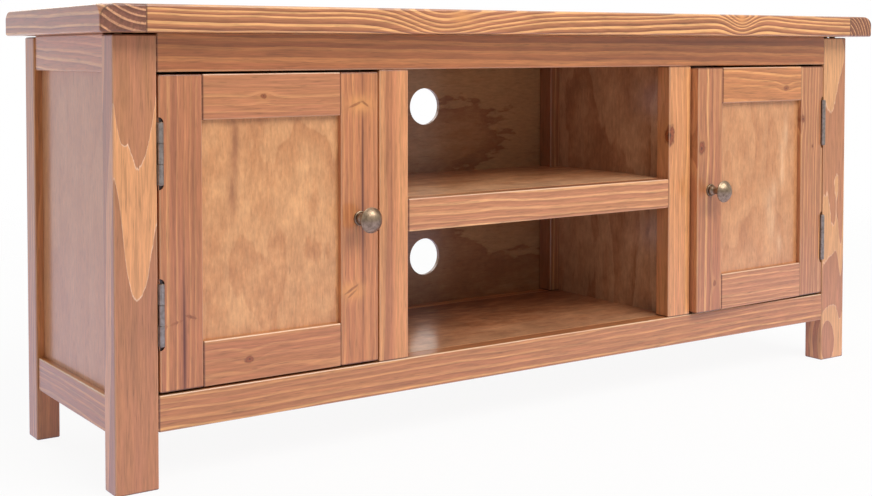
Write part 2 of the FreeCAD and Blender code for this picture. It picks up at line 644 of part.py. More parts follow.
def build_catch_bodies():
    """The magnetic catches: a block behind the top rail, and a face below it that meets the door."""
    catches = []
    for word, side in SIDES.items():
        low_x, high_x = span(side, "catch_near", "catch_far")
        catch = Board(f"{word}_catch_body", (low_x, "rail_back", "top_rail_under"),
                      (high_x, "catch_back", "top_rail_under + catch_above"), ease=None, node=False)
        catch.feature("AdditiveBox", (low_x, "catch_face", "top_rail_under - catch_below"),
                      Length="catch_width", Width="catch_back - catch_face", Height="catch_below")
        catches.append(catch)
    group("catch_bodies", [catch.body for catch in catches])


def build_door(word, side, seat):
    """One framed door, measured from its hinge axis: stiles, rails, panel and catch plate."""
    away = -side
    pegs = []

    def piece(name, near, far, front, back, low, high, ease="edge_ease"):
        low_x, high_x = span(away, near, far)
        return Board(f"{word}_{name}", (low_x, front, low), (high_x, back, high), seat=seat, ease=ease)

    hinge_stile = piece("door_hinge_stile", "door_edge", "hinge_stile_inner", "door_face", "door_back",
                        "door_low", "door_high")
    knob_stile = piece("door_knob_stile", "knob_stile_inner", "door_free_edge", "door_face", "door_back",
                       "door_low", "door_high")
    top_rail = piece("door_top_rail", "hinge_stile_inner", "knob_stile_inner", "door_face", "door_back",
                     "door_rail_high_inner", "door_high")
    bottom_rail = piece("door_bottom_rail", "hinge_stile_inner", "knob_stile_inner", "door_face", "door_back",
                        "door_low", "door_rail_low_inner")
    piece("door_panel", "hinge_stile_inner - tongue", "knob_stile_inner + tongue", "door_panel_face",
          "door_panel_back", "door_rail_low_inner - tongue", "door_rail_high_inner + tongue", ease=None)
    piece("catch_plate", "plate_near", "plate_far", "door_back", "door_back + catch_plate_thick",
          "plate_low", "plate_low + catch_plate_height", ease=None)

    grooves = (
        (hinge_stile, "hinge_stile_inner - groove_depth", "hinge_stile_inner",
         "door_rail_low_inner - groove_depth", "door_rail_high_inner + groove_depth"),
        (knob_stile, "knob_stile_inner", "knob_stile_inner + groove_depth",
         "door_rail_low_inner - groove_depth", "door_rail_high_inner + groove_depth"),
        (top_rail, "hinge_stile_inner", "knob_stile_inner",
         "door_rail_high_inner", "door_rail_high_inner + groove_depth"),
        (bottom_rail, "hinge_stile_inner", "knob_stile_inner",
         "door_rail_low_inner - groove_depth", "door_rail_low_inner"),
    )
    for board, near, far, low, high in grooves:
        low_x, high_x = span(away, near, far)
        board.cut_box((low_x, "door_panel_face - groove_play", low),
                      (high_x, "door_panel_back + groove_play", high))

    for rail, edge, towards in (("door_top_rail", "door_rail_high_inner", "+"),
                                ("door_bottom_rail", "door_rail_low_inner", "-")):
        for offset in ("door_near_dowel", "door_far_dowel"):
            height = f"{edge} {towards} {offset}"
            middle = "door_face + door_thick / 2"
            out = "+x" if away == RIGHT else "-x"
            dowel(pegs, (mirrored(away, "hinge_stile_inner"), middle, height), out,
                  f"{word}_door_hinge_stile", f"{word}_{rail}")
            dowel(pegs, (mirrored(away, "knob_stile_inner"), middle, height), out,
                  f"{word}_{rail}", f"{word}_door_knob_stile")
    group(f"{word}_door_dowels", pegs, seat)

    for centre in ("low_hinge", "high_hinge"):
        low_x, high_x = span(away, "door_edge", "door_edge + notch_width")
        hinge_stile.cut_box((low_x, "door_face", f"{centre} - half_hinge"),
                            (high_x, "notch_back", f"{centre} + half_hinge"))
        for end in ("+ half_hinge", "- half_hinge"):
            hinge_stile.drill((mirrored(away, "door_edge"), "door_face", f"{centre} {end}"), "+y",
                              "notch_width", "notch_back - door_face")


def knob_profile(body, word, away):
    """Draws half of the knob's section, from its rosette to the middle of its domed head."""
    sketch = body.newObject("Sketcher::SketchObject", f"{word}_knob_section")
    plane = next(part for part in body.Origin.OriginFeatures if part.Role == "XY_Plane")
    sketch.AttachmentSupport = [(plane, "")]
    sketch.MapMode = "FlatFace"
    facing = FreeCAD.Rotation(FreeCAD.Vector(1, 0, 0), 180)
    sketch.AttachmentOffset = FreeCAD.Placement(FreeCAD.Vector(), facing)
    put(sketch, (mirrored(away, "knob_lever"), "door_face", "door_middle"), "AttachmentOffset")
    corners = [
        ("knob_base_radius", None),
        ("knob_base_radius", "knob_base_thick"),
        ("knob_neck_radius", "knob_base_thick"),
        ("knob_neck_radius", "knob_flare_reach"),
        ("knob_rim_radius", "knob_rim_reach"),
    ]

    def at(text):
        return sheet.get(text) if text else 0.0

    points = [FreeCAD.Vector(at(radius), at(reach), 0) for radius, reach in corners]
    apex = FreeCAD.Vector(0, at("knob_reach"), 0)
    root = FreeCAD.Vector(0, 0, 0)
    outline = [root] + points
    for start, end in zip(outline, outline[1:]):
        sketch.addGeometry(Part.LineSegment(start, end))
    rise = apex.y - points[-1].y
    radius = (points[-1].x ** 2 + rise ** 2) / (2 * rise)
    centre = FreeCAD.Vector(0, apex.y - radius, 0)
    edge_angle = math.atan2(points[-1].y - centre.y, points[-1].x)
    dome = sketch.addGeometry(Part.ArcOfCircle(Part.Circle(centre, UP, radius), edge_angle, math.pi / 2))
    axis = sketch.addGeometry(Part.LineSegment(apex, root))
    start, end, middle, vertical = 1, 2, 3, -2
    sketch.addConstraint(Sketcher.Constraint("Coincident", 0, start, -1, start))
    for line in range(len(points) - 1):
        sketch.addConstraint(Sketcher.Constraint("Coincident", line, end, line + 1, start))
    last = len(points) - 1
    sketch.addConstraint(Sketcher.Constraint("Coincident", last, end, dome, start))
    sketch.addConstraint(Sketcher.Constraint("Coincident", dome, end, axis, start))
    sketch.addConstraint(Sketcher.Constraint("Coincident", axis, end, 0, start))
    sketch.addConstraint(Sketcher.Constraint("PointOnObject", dome, middle, vertical))
    sketch.addConstraint(Sketcher.Constraint("PointOnObject", axis, start, vertical))
    sketch.addConstraint(Sketcher.Constraint("Horizontal", 0))
    for number, (radius_name, reach_name) in enumerate(corners):
        for kind, name in (("DistanceX", radius_name), ("DistanceY", reach_name)):
            if name:
                made = sketch.addConstraint(Sketcher.Constraint(kind, -1, start, number, end, at(name)))
                bind(sketch, f"Constraints[{made}]", name)
    made = sketch.addConstraint(Sketcher.Constraint("DistanceY", -1, start, axis, start, at("knob_reach")))
    bind(sketch, f"Constraints[{made}]", "knob_reach")
    return sketch


def build_knob(word, side, seat):
    """One turned knob on the free stile, and the machine screw that holds it from behind."""
    away = -side
    body = doc.addObject("PartDesign::Body", f"{word}_knob")
    turned = body.newObject("PartDesign::Revolution", f"{word}_knob_turned")
    turned.Profile = knob_profile(body, word, away)
    turned.ReferenceAxis = (turned.Profile[0], ["V_Axis"])
    turned.Angle = 360
    body.Tip = turned
    doc.recompute()
    line = mirrored(away, "knob_lever")
    thread = body.newObject("PartDesign::SubtractiveCylinder", f"{word}_knob_thread")
    bind(thread, "Radius", "knob_screw_radius + screw_play")
    bind(thread, "Height", "knob_screw_bite + dowel_end_play")
    thread.Placement = FreeCAD.Placement(FreeCAD.Vector(), FreeCAD.Rotation(UP, HEADINGS["-y"]))
    put(thread, (line, "door_face", "door_middle"))
    seat.hold(body)
    nodes[body.Label] = body
    boards[f"{word}_door_knob_stile"].drill((line, "door_face", "door_middle"), "+y",
                                            "knob_screw_radius + screw_play", "door_thick")
    rear = (line, "door_back", "door_middle")
    head = rod(f"{word}_knob_screw_head", rear, "+y", "knob_screw_head_radius", "knob_screw_head_thick")
    shank = rod(f"{word}_knob_screw_shank", rear, "-y", "knob_screw_radius", "door_thick + knob_screw_bite")
    held = joined("Part::MultiFuse", f"{word}_knob_screw", [head, shank])
    seat.hold(held)
    nodes[held.Label] = held


def build_leaf(label, away, centre, seat, frame_side):
    """One hinge leaf: a plate in the door's gap with its knuckles round the pin."""
    near = "-(barrel_inset)" if frame_side else "door_edge - leaf_thick"
    low_x, high_x = span(away, near, f"{near} + leaf_thick")
    leaf = Board(label, (low_x, "0", f"{centre} - half_hinge"),
                 (high_x, "leaf_depth", f"{centre} + half_hinge"), seat=seat, ease=None, node=False)
    half_knuckle = "knuckle_length / 2"
    middle = [(f"{centre} - {half_knuckle}", f"{centre} + {half_knuckle}")]
    outer = [(f"{centre} - half_hinge", f"{centre} - {half_knuckle} - knuckle_gap"),
             (f"{centre} + {half_knuckle} + knuckle_gap", f"{centre} + half_hinge")]
    own, other = (outer, middle) if frame_side else (middle, outer)
    window = "frame_leaf_window" if frame_side else "door_leaf_window"
    for low, high in other:
        leaf.cut_box((low_x, "0", f"{low} - knuckle_gap"), (high_x, window, f"{high} + knuckle_gap"))
    for low, high in own:
        leaf.feature("AdditiveCylinder", ("0", "0", low), Radius="barrel_radius",
                     Height=f"({high}) - ({low})")
    leaf.drill(("0", "0", f"{centre} - half_hinge"), "+z", "pin_radius + pin_play", "hinge_length")
    return leaf


def build_hinges(word, side, fixed_seat, door_seat, frame_leaves, frame_screws, pins):
    """The two butt hinges of one door, with their pins and screws."""
    away = -side
    into_leg = "+x" if side == RIGHT else "-x"
    door_leaves = []
    door_screws = []
    for name, centre in (("low", "low_hinge"), ("high", "high_hinge")):
        fixed = build_leaf(f"{word}_{name}_frame_leaf", away, centre, fixed_seat, True)
        frame_leaves.append(fixed.body)
        swinging = build_leaf(f"{word}_{name}_door_leaf", away, centre, door_seat, False)
        door_leaves.append(swinging.body)
        base = ("0", "0", f"{centre} - half_hinge")
        top = ("0", "0", f"{centre} + half_hinge")
        parts = [rod(f"{word}_{name}_pin_shank", base, "+z", "pin_radius", "hinge_length"),
                 rod(f"{word}_{name}_pin_foot", base, "-z", "pin_head_radius", "pin_head_thick"),
                 rod(f"{word}_{name}_pin_head", top, "+z", "pin_head_radius", "pin_head_thick")]
        pin = joined("Part::MultiFuse", f"{word}_{name}_pin", parts)
        fixed_seat.hold(pin)
        pins.append(pin)
        for number, spread in enumerate(("+ hinge_screw_spread", "- hinge_screw_spread"), start=1):
            height = f"{centre} {spread}"
            leaf_face = (mirrored(away, "leaf_thick - barrel_inset"), "hinge_screw_depth", height)
            leg_face = (mirrored(side, "leg_inner - leaf_thick"),
                        "front - axis_proud + hinge_screw_depth", height)
            screw(frame_screws, f"{word}_{name}_frame_screw_{number}", leg_face, into_leg,
                  (f"front_{word}_leg",))
            fixed.sink_screw(leaf_face, into_leg)
            edge_face = (mirrored(away, "door_edge - leaf_thick"), "hinge_screw_depth", height)
            screw(door_screws, f"{word}_{name}_door_screw_{number}", edge_face, opposite(into_leg),
                  (swinging.label, f"{word}_door_hinge_stile"))
    group(f"{word}_hinge_door_leaves", door_leaves)
    group(f"{word}_door_hinge_screws", door_screws, door_seat)


def build_doors():
    """Both doors with their knobs and hinges; the hinges' fixed pieces are shared nodes."""
    frame_leaves, frame_screws, pins = [], [], []
    for word, side in SIDES.items():
        axis = (mirrored(side, "hinge_line"), "front - axis_proud", "0")
        fixed_seat = Seat(axis)
        door_seat = Seat(axis, mirrored(side, f"{word}_door_ajar"))
        build_door(word, side, door_seat)
        build_knob(word, side, door_seat)
        build_hinges(word, side, fixed_seat, door_seat, frame_leaves, frame_screws, pins)
    group("hinge_frame_leaves", frame_leaves)
    group("frame_hinge_screws", frame_screws)
    group("hinge_pins", pins)


def write_parts():
    """Checks every object and every piece, and writes one file for each piece."""
    failed = [item.Name for item in doc.Objects if {"Invalid", "Error"} & set(item.State)]
    if failed:
        raise RuntimeError(f"objects that failed: {failed}")
    for label, piece in nodes.items():
        if piece.Shape.isNull() or not piece.Shape.isValid():
            raise RuntimeError(f"{label} has no valid shape")
    os.makedirs("parts", exist_ok=True)
    for label, piece in nodes.items():
        piece.Shape.exportStep(os.path.join("parts", f"{label}.step"))
        print(f"{label}: {len(piece.Shape.Solids)} solids, {piece.Shape.Volume:.0f} mm3")
    print(f"{len(nodes)} nodes")


frame_dowels = []
build_legs()
build_sides(frame_dowels)
build_long_rails(frame_dowels)
build_back_and_floor()
build_dividers(frame_dowels)
build_shelf(frame_dowels)
build_top(frame_dowels)
build_catch_bodies()
build_frame_screws()
build_doors()
group("frame_dowels", frame_dowels)
doc.recompute()
write_parts()
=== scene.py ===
"""Looks of a stained pine television stand: timber, ply and metal finishes, fittings, studio and camera."""

from __future__ import annotations

import json
import logging
import math
from dataclasses import dataclass
from enum import Enum
from typing import Any

import bmesh
import bpy
import numpy as np
from mathutils import Euler, Matrix, Vector

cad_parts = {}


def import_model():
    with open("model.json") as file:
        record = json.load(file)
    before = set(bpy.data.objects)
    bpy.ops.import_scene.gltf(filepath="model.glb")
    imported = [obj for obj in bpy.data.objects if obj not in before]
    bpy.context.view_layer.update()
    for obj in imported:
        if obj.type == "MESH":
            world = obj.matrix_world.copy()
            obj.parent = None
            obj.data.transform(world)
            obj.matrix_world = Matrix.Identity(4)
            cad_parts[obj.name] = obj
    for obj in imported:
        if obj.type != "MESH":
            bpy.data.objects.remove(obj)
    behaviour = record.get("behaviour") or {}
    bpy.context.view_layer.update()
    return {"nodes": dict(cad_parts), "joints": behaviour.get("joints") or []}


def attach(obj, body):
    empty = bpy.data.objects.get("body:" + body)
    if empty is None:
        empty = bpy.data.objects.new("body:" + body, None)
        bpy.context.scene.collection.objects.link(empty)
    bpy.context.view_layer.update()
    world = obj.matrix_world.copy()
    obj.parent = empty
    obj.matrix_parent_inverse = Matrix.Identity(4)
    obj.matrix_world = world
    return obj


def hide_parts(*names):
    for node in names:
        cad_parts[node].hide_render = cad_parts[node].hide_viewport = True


Triple = tuple[float, float, float]
Span = tuple[float, float]
Socket = bpy.types.NodeSocket
Piece = bpy.types.Object
Shape = bmesh.types.BMesh

LOG = logging.getLogger("tv_stand")
# A millimetre and the distance at which points are welded, in metres
MM = 0.001
WELD = 1e-6
# Where the front's boards have their show faces, in millimetres
FRONT_PLANE = -107.85
SHARP_ANGLE = math.radians(38)
WHITE: Triple = (1.0, 1.0, 1.0)


def colour(red: int, green: int, blue: int) -> Triple:
    """Turns a colour as screens write it into the renderer's own measure.

    Args:
        red: Red, from 0 to 255.
        green: Green, from 0 to 255.
        blue: Blue, from 0 to 255.

    Returns:
        The colour in linear light.
    """
    parts = (channel / 255 for channel in (red, green, blue))
    return tuple(c / 12.92 if c <= 0.04045 else ((c + 0.055) / 1.055) ** 2.4 for c in parts)


def opaque(shade: Triple) -> tuple[float, float, float, float]:
    """Gives a colour its fourth number."""
    return (*shade, 1.0)


class Grain(Enum):
    """The way a board's fibres run."""

    ALONG_X = (1, 0, 0)
    ALONG_Y = (0, 1, 0)
    ALONG_Z = (0, 0, 1)


class Face(Enum):
    """The face of a board that shows most, written as the way into the board."""

    FRONT = (0, 1, 0)
    BACK = (0, -1, 0)
    LEFT = (1, 0, 0)
    RIGHT = (-1, 0, 0)
    UPPER = (0, 0, -1)


class Side(Enum):
    """A side of the stand, seen from the front."""

    LEFT = -1
    RIGHT = 1

    @property
    def word(self) -> str:
        """The side as the pieces' names write it."""
        return self.name.lower()


class Reading:
    """A number in a node tree that sums can be written with."""

    def __init__(self, sheet: NodeSheet, socket: Socket) -> None:
        """Keeps the tree and the socket that gives the number."""
        self.sheet = sheet
        self.socket = socket

    def __add__(self, other: Reading | float) -> Reading:
        """Adds."""
        return self.sheet.sum_of("ADD", self, other)

    __radd__ = __add__

    def __sub__(self, other: Reading | float) -> Reading:
        """Takes the other away."""
        return self.sheet.sum_of("SUBTRACT", self, other)

    def __rsub__(self, other: float) -> Reading:
        """Takes this away from the other."""
        return self.sheet.sum_of("SUBTRACT", other, self)

    def __mul__(self, other: Reading | float) -> Reading:
        """Multiplies."""
        return self.sheet.sum_of("MULTIPLY", self, other)

    __rmul__ = __mul__

    def __truediv__(self, other: Reading | float) -> Reading:
        """Divides by the other."""
        return self.sheet.sum_of("DIVIDE", self, other)

    def __abs__(self) -> Reading:
        """Drops the sign."""
        return self.sheet.sum_of("ABSOLUTE", self)

    def root(self) -> Reading:
        """Gives the square root."""
        return self.sheet.sum_of("SQRT", self)

    def part(self) -> Reading:
        """Gives what follows the point."""
        return self.sheet.sum_of("FRACT", self)

    def whole(self) -> Reading:
        """Gives what stands before the point."""
        return self.sheet.sum_of("FLOOR", self)

    def bell(self) -> Reading:
        """Falls from one towards nothing as the square of this grows."""
        return self.sheet.sum_of("EXPONENT", self * self * -1.0)

    def least(self, other: Reading | float) -> Reading:
        """Gives the smaller of the two."""
        return self.sheet.sum_of("MINIMUM", self, other)

    def most(self, other: Reading | float) -> Reading:
        """Gives the larger of the two."""
        return self.sheet.sum_of("MAXIMUM", self, other)

    def rise(self, low: float, high: float) -> Reading:
        """Goes smoothly from nothing at low to one at high.

        Args:
            low: Where the rise begins.
            high: Where it ends.

        Returns:
            The eased share.
        """
        made = self.sheet.add("ShaderNodeMapRange", {"interpolation_type": "SMOOTHSTEP"},
                              {"Value": self, "From Min": low, "From Max": high})
        return Reading(self.sheet, made.outputs["Result"])


@dataclass(frozen=True)
class Noise:
    """A noise: its waves to a unit of length each way, its own spot, its finer layers and their strength."""

    waves: Triple
    seed: float
    detail: float = 2.0
    harsh: float = 0.5


class NodeSheet:
    """The node tree of one material or world, with the numbers of a Mix node's colour sockets."""

    COLOUR_A, COLOUR_B, COLOUR_OUT = 6, 7, 2
    SEED_STEPS = (7.31, 3.17, 5.73)
    NOISE_MIDDLE = 0.5
    NOISE_GAIN = 4.0

    def __init__(self, tree: bpy.types.NodeTree) -> None:
        """Empties the tree and keeps it."""
        self.tree = tree
        tree.nodes.clear()

    @classmethod
    def for_material(cls, name: str) -> tuple[bpy.types.Material, NodeSheet]:
        """Makes a new material.

        Args:
            name: The material's name.

        Returns:
            The material and its sheet.
        """
        material = bpy.data.materials.new(name)
        material.use_nodes = True
        return material, cls(material.node_tree)

    def add(self, kind: str, settings: dict[str, Any], sockets: dict[str | int, Any]) -> bpy.types.Node:
        """Adds a node.

        Args:
            kind: The node's type.
            settings: The node's own settings; "stops" gives a ramp's places and colours.
            sockets: A value or a link for each input, by name or number.

        Returns:
            The node.
        """
        node = self.tree.nodes.new(kind)
        for name, value in settings.items():
            if name == "stops":
                ramp = node.color_ramp.elements
                for place, _ in value[1:-1]:
                    ramp.new(place)
                for element, (_, shade) in zip(ramp, value):
                    element.color = opaque(shade)
            else:
                setattr(node, name, value)
        for name, value in sockets.items():
            socket = value.socket if isinstance(value, Reading) else value
            if isinstance(socket, Socket):
                self.tree.links.new(socket, node.inputs[name])
            else:
                node.inputs[name].default_value = socket
        return node

    def sum_of(self, operation: str, *terms: Reading | float) -> Reading:
        """Adds a Math node."""
        node = self.add("ShaderNodeMath", {"operation": operation}, dict(enumerate(terms)))
        return Reading(self, node.outputs[0])

    def coordinates(self, kind: str) -> Socket:
        """Gives each point's place, or the way its surface faces."""
        return self.add("ShaderNodeTexCoord", {}, {}).outputs[kind]

    def rays(self, *kinds: str) -> tuple[Reading, ...]:
        """Gives one for the rays of each named kind and nothing for the others."""
        path = self.add("ShaderNodeLightPath", {}, {})
        return tuple(Reading(self, path.outputs[f"Is {kind} Ray"]) for kind in kinds)

    def mix(self, share: Reading | float, first: Any, second: Any) -> Socket:
        """Mixes two colours.

        Args:
            share: How much of the second colour.
            first: A colour or a colour socket.
            second: A colour or a colour socket.

        Returns:
            The mixed colour.
        """
        first, second = (opaque(c) if isinstance(c, tuple) else c for c in (first, second))
        node = self.add("ShaderNodeMix", {"data_type": "RGBA", "blend_type": "MIX"},
                        {0: share, self.COLOUR_A: first, self.COLOUR_B: second})
        return node.outputs[self.COLOUR_OUT]

    def mix_shaders(self, share: Reading, first: bpy.types.Node, second: bpy.types.Node) -> bpy.types.Node:
        """Mixes two shaders, by the share of the second."""
        return self.add("ShaderNodeMixShader", {}, {0: share, 1: first.outputs[0], 2: second.outputs[0]})

    def tinted(self, shade: Socket, tint: Triple) -> Socket:
        """Multiplies a colour by another."""
        node = self.add("ShaderNodeVectorMath", {"operation": "MULTIPLY"}, {0: shade, 1: tint})
        return node.outputs[0]

    def brighten(self, shade: Socket, factor: Reading) -> Socket:
        """Multiplies a colour by a number."""
        node = self.add("ShaderNodeVectorMath", {"operation": "SCALE"}, {0: shade, "Scale": factor})
        return node.outputs[0]

    def split(self, vector: Socket) -> tuple[Reading, Reading, Reading]:
        """Gives a vector's three numbers."""
        node = self.add("ShaderNodeSeparateXYZ", {}, {0: vector})
        return tuple(Reading(self, out) for out in node.outputs)

    def noise(self, vector: Socket, kind: Noise, seed: float = 0.0) -> bpy.types.Node:
        """Adds a noise.

        Args:
            vector: The place.
            kind: The noise's waves and layers.
            seed: The piece's own spot, which the noise's is added to.

        Returns:
            The noise node.
        """
        shift = tuple((seed + kind.seed) * step for step in self.SEED_STEPS)
        place = self.add("ShaderNodeMapping", {"vector_type": "POINT"},
                         {"Vector": vector, "Location": shift, "Scale": kind.waves})
        return self.add("ShaderNodeTexNoise", {"noise_dimensions": "3D"},
                        {"Vector": place.outputs[0], "Scale": 1.0, "Detail": kind.detail,
                         "Roughness": kind.harsh})

    def level(self, vector: Socket, kind: Noise, seed: float = 0.0) -> Reading:
        """Gives a noise as a number about zero, mostly between minus one and one."""
        height = Reading(self, self.noise(vector, kind, seed).outputs[0])
        return (height - self.NOISE_MIDDLE) * self.NOISE_GAIN

    def bump(self, height: Reading, strength: float, depth_mm: float) -> Socket:
        """Turns a height into a surface normal."""
        node = self.add("ShaderNodeBump", {},
                        {"Height": height, "Strength": strength, "Distance": depth_mm * MM})
        return node.outputs[0]

    def end(self, sockets: dict[str | int, Any]) -> None:
        """Adds the surface shader and the output."""
        shader = self.add("ShaderNodeBsdfPrincipled", {"distribution": "MULTI_GGX"}, sockets)
        self.add("ShaderNodeOutputMaterial", {}, {"Surface": shader.outputs[0]})


@dataclass(frozen=True)
class BoardAxes:
    """A board's own axes: along its fibres, across its show face and into it, from its middle."""

    middle: Vector
    turn: Matrix
    half: Vector

    @classmethod
    def of(cls, piece: Piece, grain: Grain, face: Face, swing: float = 0.0) -> BoardAxes:
        """Finds the axes and half sizes of a board.

        Args:
            piece: The board.
            grain: The way its fibres run.
            face: Its show face.
            swing: How far it is turned about the upright, in radians.

        Returns:
            The board's axes, with the half sizes in millimetres.
        """
        along, inward = Vector(grain.value), Vector(face.value)
        across = inward.cross(along)
        turn = Matrix.Rotation(swing, 3, "Z") @ Matrix((along, across, inward)).transposed()
        places = [turn.transposed() @ vertex.co for vertex in piece.data.vertices]
        low = Vector(min(place[i] for place in places) for i in range(3))
        high = Vector(max(place[i] for place in places) for i in range(3))
        return cls(turn @ ((low + high) / 2), turn, (high - low) / 2 / MM)

    def find(self, place_mm: Triple) -> Vector:
        """Gives a place on the stand as millimetres along, across and into the board."""
        return self.turn.transposed() @ (Vector(place_mm) - self.middle / MM)


@dataclass(frozen=True)
class BoardPoint:
    """A board's points as its shader reads them: millimetres along the fibres, across the face and deep."""

    END_TURN = (0.55, 0.9)

    sheet: NodeSheet
    axes: BoardAxes
    spot: Socket
    along: Reading
    across: Reading
    deep: Reading

    @classmethod
    def on(cls, sheet: NodeSheet, axes: BoardAxes) -> BoardPoint:
        """Adds the nodes that give each point's place on a board.

        Args:
            sheet: The tree to add to.
            axes: The board's axes.

        Returns:
            The points.
        """
        node = sheet.add("ShaderNodeMapping", {"vector_type": "TEXTURE"},
                         {"Vector": sheet.coordinates("Object"), "Location": axes.middle,
                          "Rotation": axes.turn.to_euler(), "Scale": (MM, MM, MM)})
        spot = node.outputs[0]
        return cls(sheet, axes, spot, *sheet.split(spot))

    def level(self, kind: Noise, seed: float) -> Reading:
        """Gives a noise over the board as a number about zero."""
        return self.sheet.level(self.spot, kind, seed)

    def below_faces(self) -> tuple[Reading, Reading]:
        """Gives how far in a point lies from the board's sides and from its show face or its back."""
        return self.axes.half[1] - abs(self.across), self.axes.half[2] - abs(self.deep)

    def arris_distance(self) -> Reading:
        """Gives how far a point of a long face is from the nearest long edge, in millimetres."""
        side, face = self.below_faces()
        return side.most(face)

    def hollow(self) -> Reading:
        """Gives how far a point lies below the board's long faces, in millimetres."""
        side, face = self.below_faces()
        return side.least(face)

    def end_distance(self) -> Reading:
        """Gives how far a point is from the board's nearest end, in millimetres."""
        return self.axes.half[0] - abs(self.along)

    def end_share(self, facing: Socket) -> Reading:
        """Tells end grain from long faces.

        Args:
            facing: The way the surface faces.

        Returns:
            One on the board's end grain and nothing on its long faces.
        """
        fibre = tuple(self.axes.turn.col[0])
        node = self.sheet.add("ShaderNodeVectorMath", {"operation": "DOT_PRODUCT"}, {0: facing, 1: fibre})
        return abs(Reading(self.sheet, node.outputs[1])).rise(*self.END_TURN)


@dataclass(frozen=True)
class Knot:
    """A knot in a board, in millimetres.

    Attributes:
        place: Its middle, on the stand.
        radius: Its radius across the fibres.
        push: How far it pushes the rings aside.
        reach: How far the push reaches, in radii.
        stretch: Its length along the fibres, as a share of its width.
        dark: How strongly its flesh shows.
        halo: How strongly the gold wood round it shows.
        through: Whether it goes through the board.
        slant: How far it is turned on the face, in radians.
    """

    place: Triple
    radius: float
    push: float
    reach: float = 3.6
    stretch: float = 1.4
    dark: float = 0.85
    halo: float = 0.0
    through: bool = True
    slant: float = 0.0

    def away(self, point: BoardPoint) -> Reading:
        """Gives how far each point of a board is from the knot's middle, in knot radii.

        Args:
            point: The board's points.

        Returns:
            The distance, by the knot's own shape.
        """
        place = point.axes.find(self.place)
        lengthwise = point.along - place[0]
        sideways = point.across - place[1]
        if self.slant:
            level, steep = math.cos(self.slant), math.sin(self.slant)
            lengthwise, sideways = (lengthwise * level - sideways * steep,
                                    sideways * level + lengthwise * steep)
        off_along = lengthwise / (self.radius * self.stretch)
        off_across = sideways / self.radius
        square = off_along * off_along + off_across * off_across
        if not self.through:
            off_deep = (point.deep - place[2]) / self.radius
            square = square + off_deep * off_deep
        return square.root()

    def pushed(self, point: BoardPoint) -> Reading:
        """Gives how far the knot pushes the rings aside at each point."""
        return (self.away(point) / self.reach).bell() * self.push


@dataclass(frozen=True)
class Streak:
    """A line along the fibres: its place on the stand, half its length, its width and how strong it is."""

    FRAY = 0.6

    place: Triple
    half_length: float
    width: float
    strength: float = 0.85

    def share(self, point: BoardPoint, ragged: Reading | None = None) -> Reading:
        """Gives how strongly the line shows at each point of a board.

        Args:
            point: The board's points.
            ragged: A noise that frays the line's sides, if any.

        Returns:
            The line's share.
        """
        place = point.axes.find(self.place)
        off_along = (point.along - place[0]) / self.half_length
        aside = point.across - place[1]
        if ragged is not None:
            aside = aside + ragged * (self.width * self.FRAY)
        return (aside / self.width).bell() * off_along.bell() * self.strength


@dataclass(frozen=True)
class Bend:
    """A place where a figure is pushed aside: its reach along, across and into the board, and the push."""

    place: Triple
    reach: Triple
    push: float

    def pushed(self, point: BoardPoint) -> Reading:
        """Gives how far the figure is pushed aside at each point.

        Args:
            point: The board's points.

        Returns:
            The whole push in the bend's middle, falling to nothing past its reach.
        """
        spot = (point.along, point.across, point.deep)
        there = point.axes.find(self.place)
        along, across, deep = ((spot[i] - there[i]) / self.reach[i] for i in range(3))
        return (along * along + across * across + deep * deep).root().bell() * self.push


@dataclass(frozen=True)
class Timber:
    """How one board was cut from its log, in millimetres, and how it took the stain.

    Attributes:
        grain: The way its fibres run.
        face: The face that shows most.
        heart: The log's heart, across from the board's middle and in from its face.
        lean: How far the heart moves across and in, for each millimetre along.
        ring: The width of a year's growth.
        seed: The board's own spot in the noises.
        start: Years added to the count.
        late: The share of a year that is hard, light wood.
        fade: The share of a year over which the hard wood begins.
        crisp: The share of a year over which it ends.
        rim: How strongly a pale line edges the hard wood.
        steady: How alike the years are in strength.
        dusk: How dark the soft wood begins.
        uneven: How much the years differ in width.
        sway: How far the rings wander.
        jag: How ragged the rings are.
        tone: The board's brightness.
        tint: The board's hue.
        light_tint: The hard wood's hue.
        contrast: How strongly the rings show.
        blush: Pink added to the stain, or taken from it.
        worn: How far the long edges are paled, partly by wear and partly by a painted highlight.
        seamed: How dark the joints at the ends are.
        notched: How dark the painted shade in the notches is.
        knots: The knots in it.
        bends: The places where its rings are pushed aside.
        streaks: The lines of resin on it.
    """

    grain: Grain
    face: Face
    heart: Span
    lean: Span
    ring: float
    seed: float
    start: float = 0.0
    late: float = 0.18
    fade: float = 0.22
    crisp: float = 0.05
    rim: float = 0.0
    steady: float = 0.2
    dusk: float = 0.5
    uneven: float = 1.4
    sway: float = 3.0
    jag: float = 0.3
    tone: float = 1.0
    tint: Triple = WHITE
    light_tint: Triple = WHITE
    contrast: float = 0.8
    blush: float = 0.0
    # How far the long edges pale: partly wear, partly a painted highlight.
    worn: float = 1.0
    seamed: float = 0.8
    # How dark the painted shade in the notches is.
    notched: float = 0.0
    knots: tuple[Knot, ...] = ()
    bends: tuple[Bend, ...] = ()
    streaks: tuple[Streak, ...] = ()


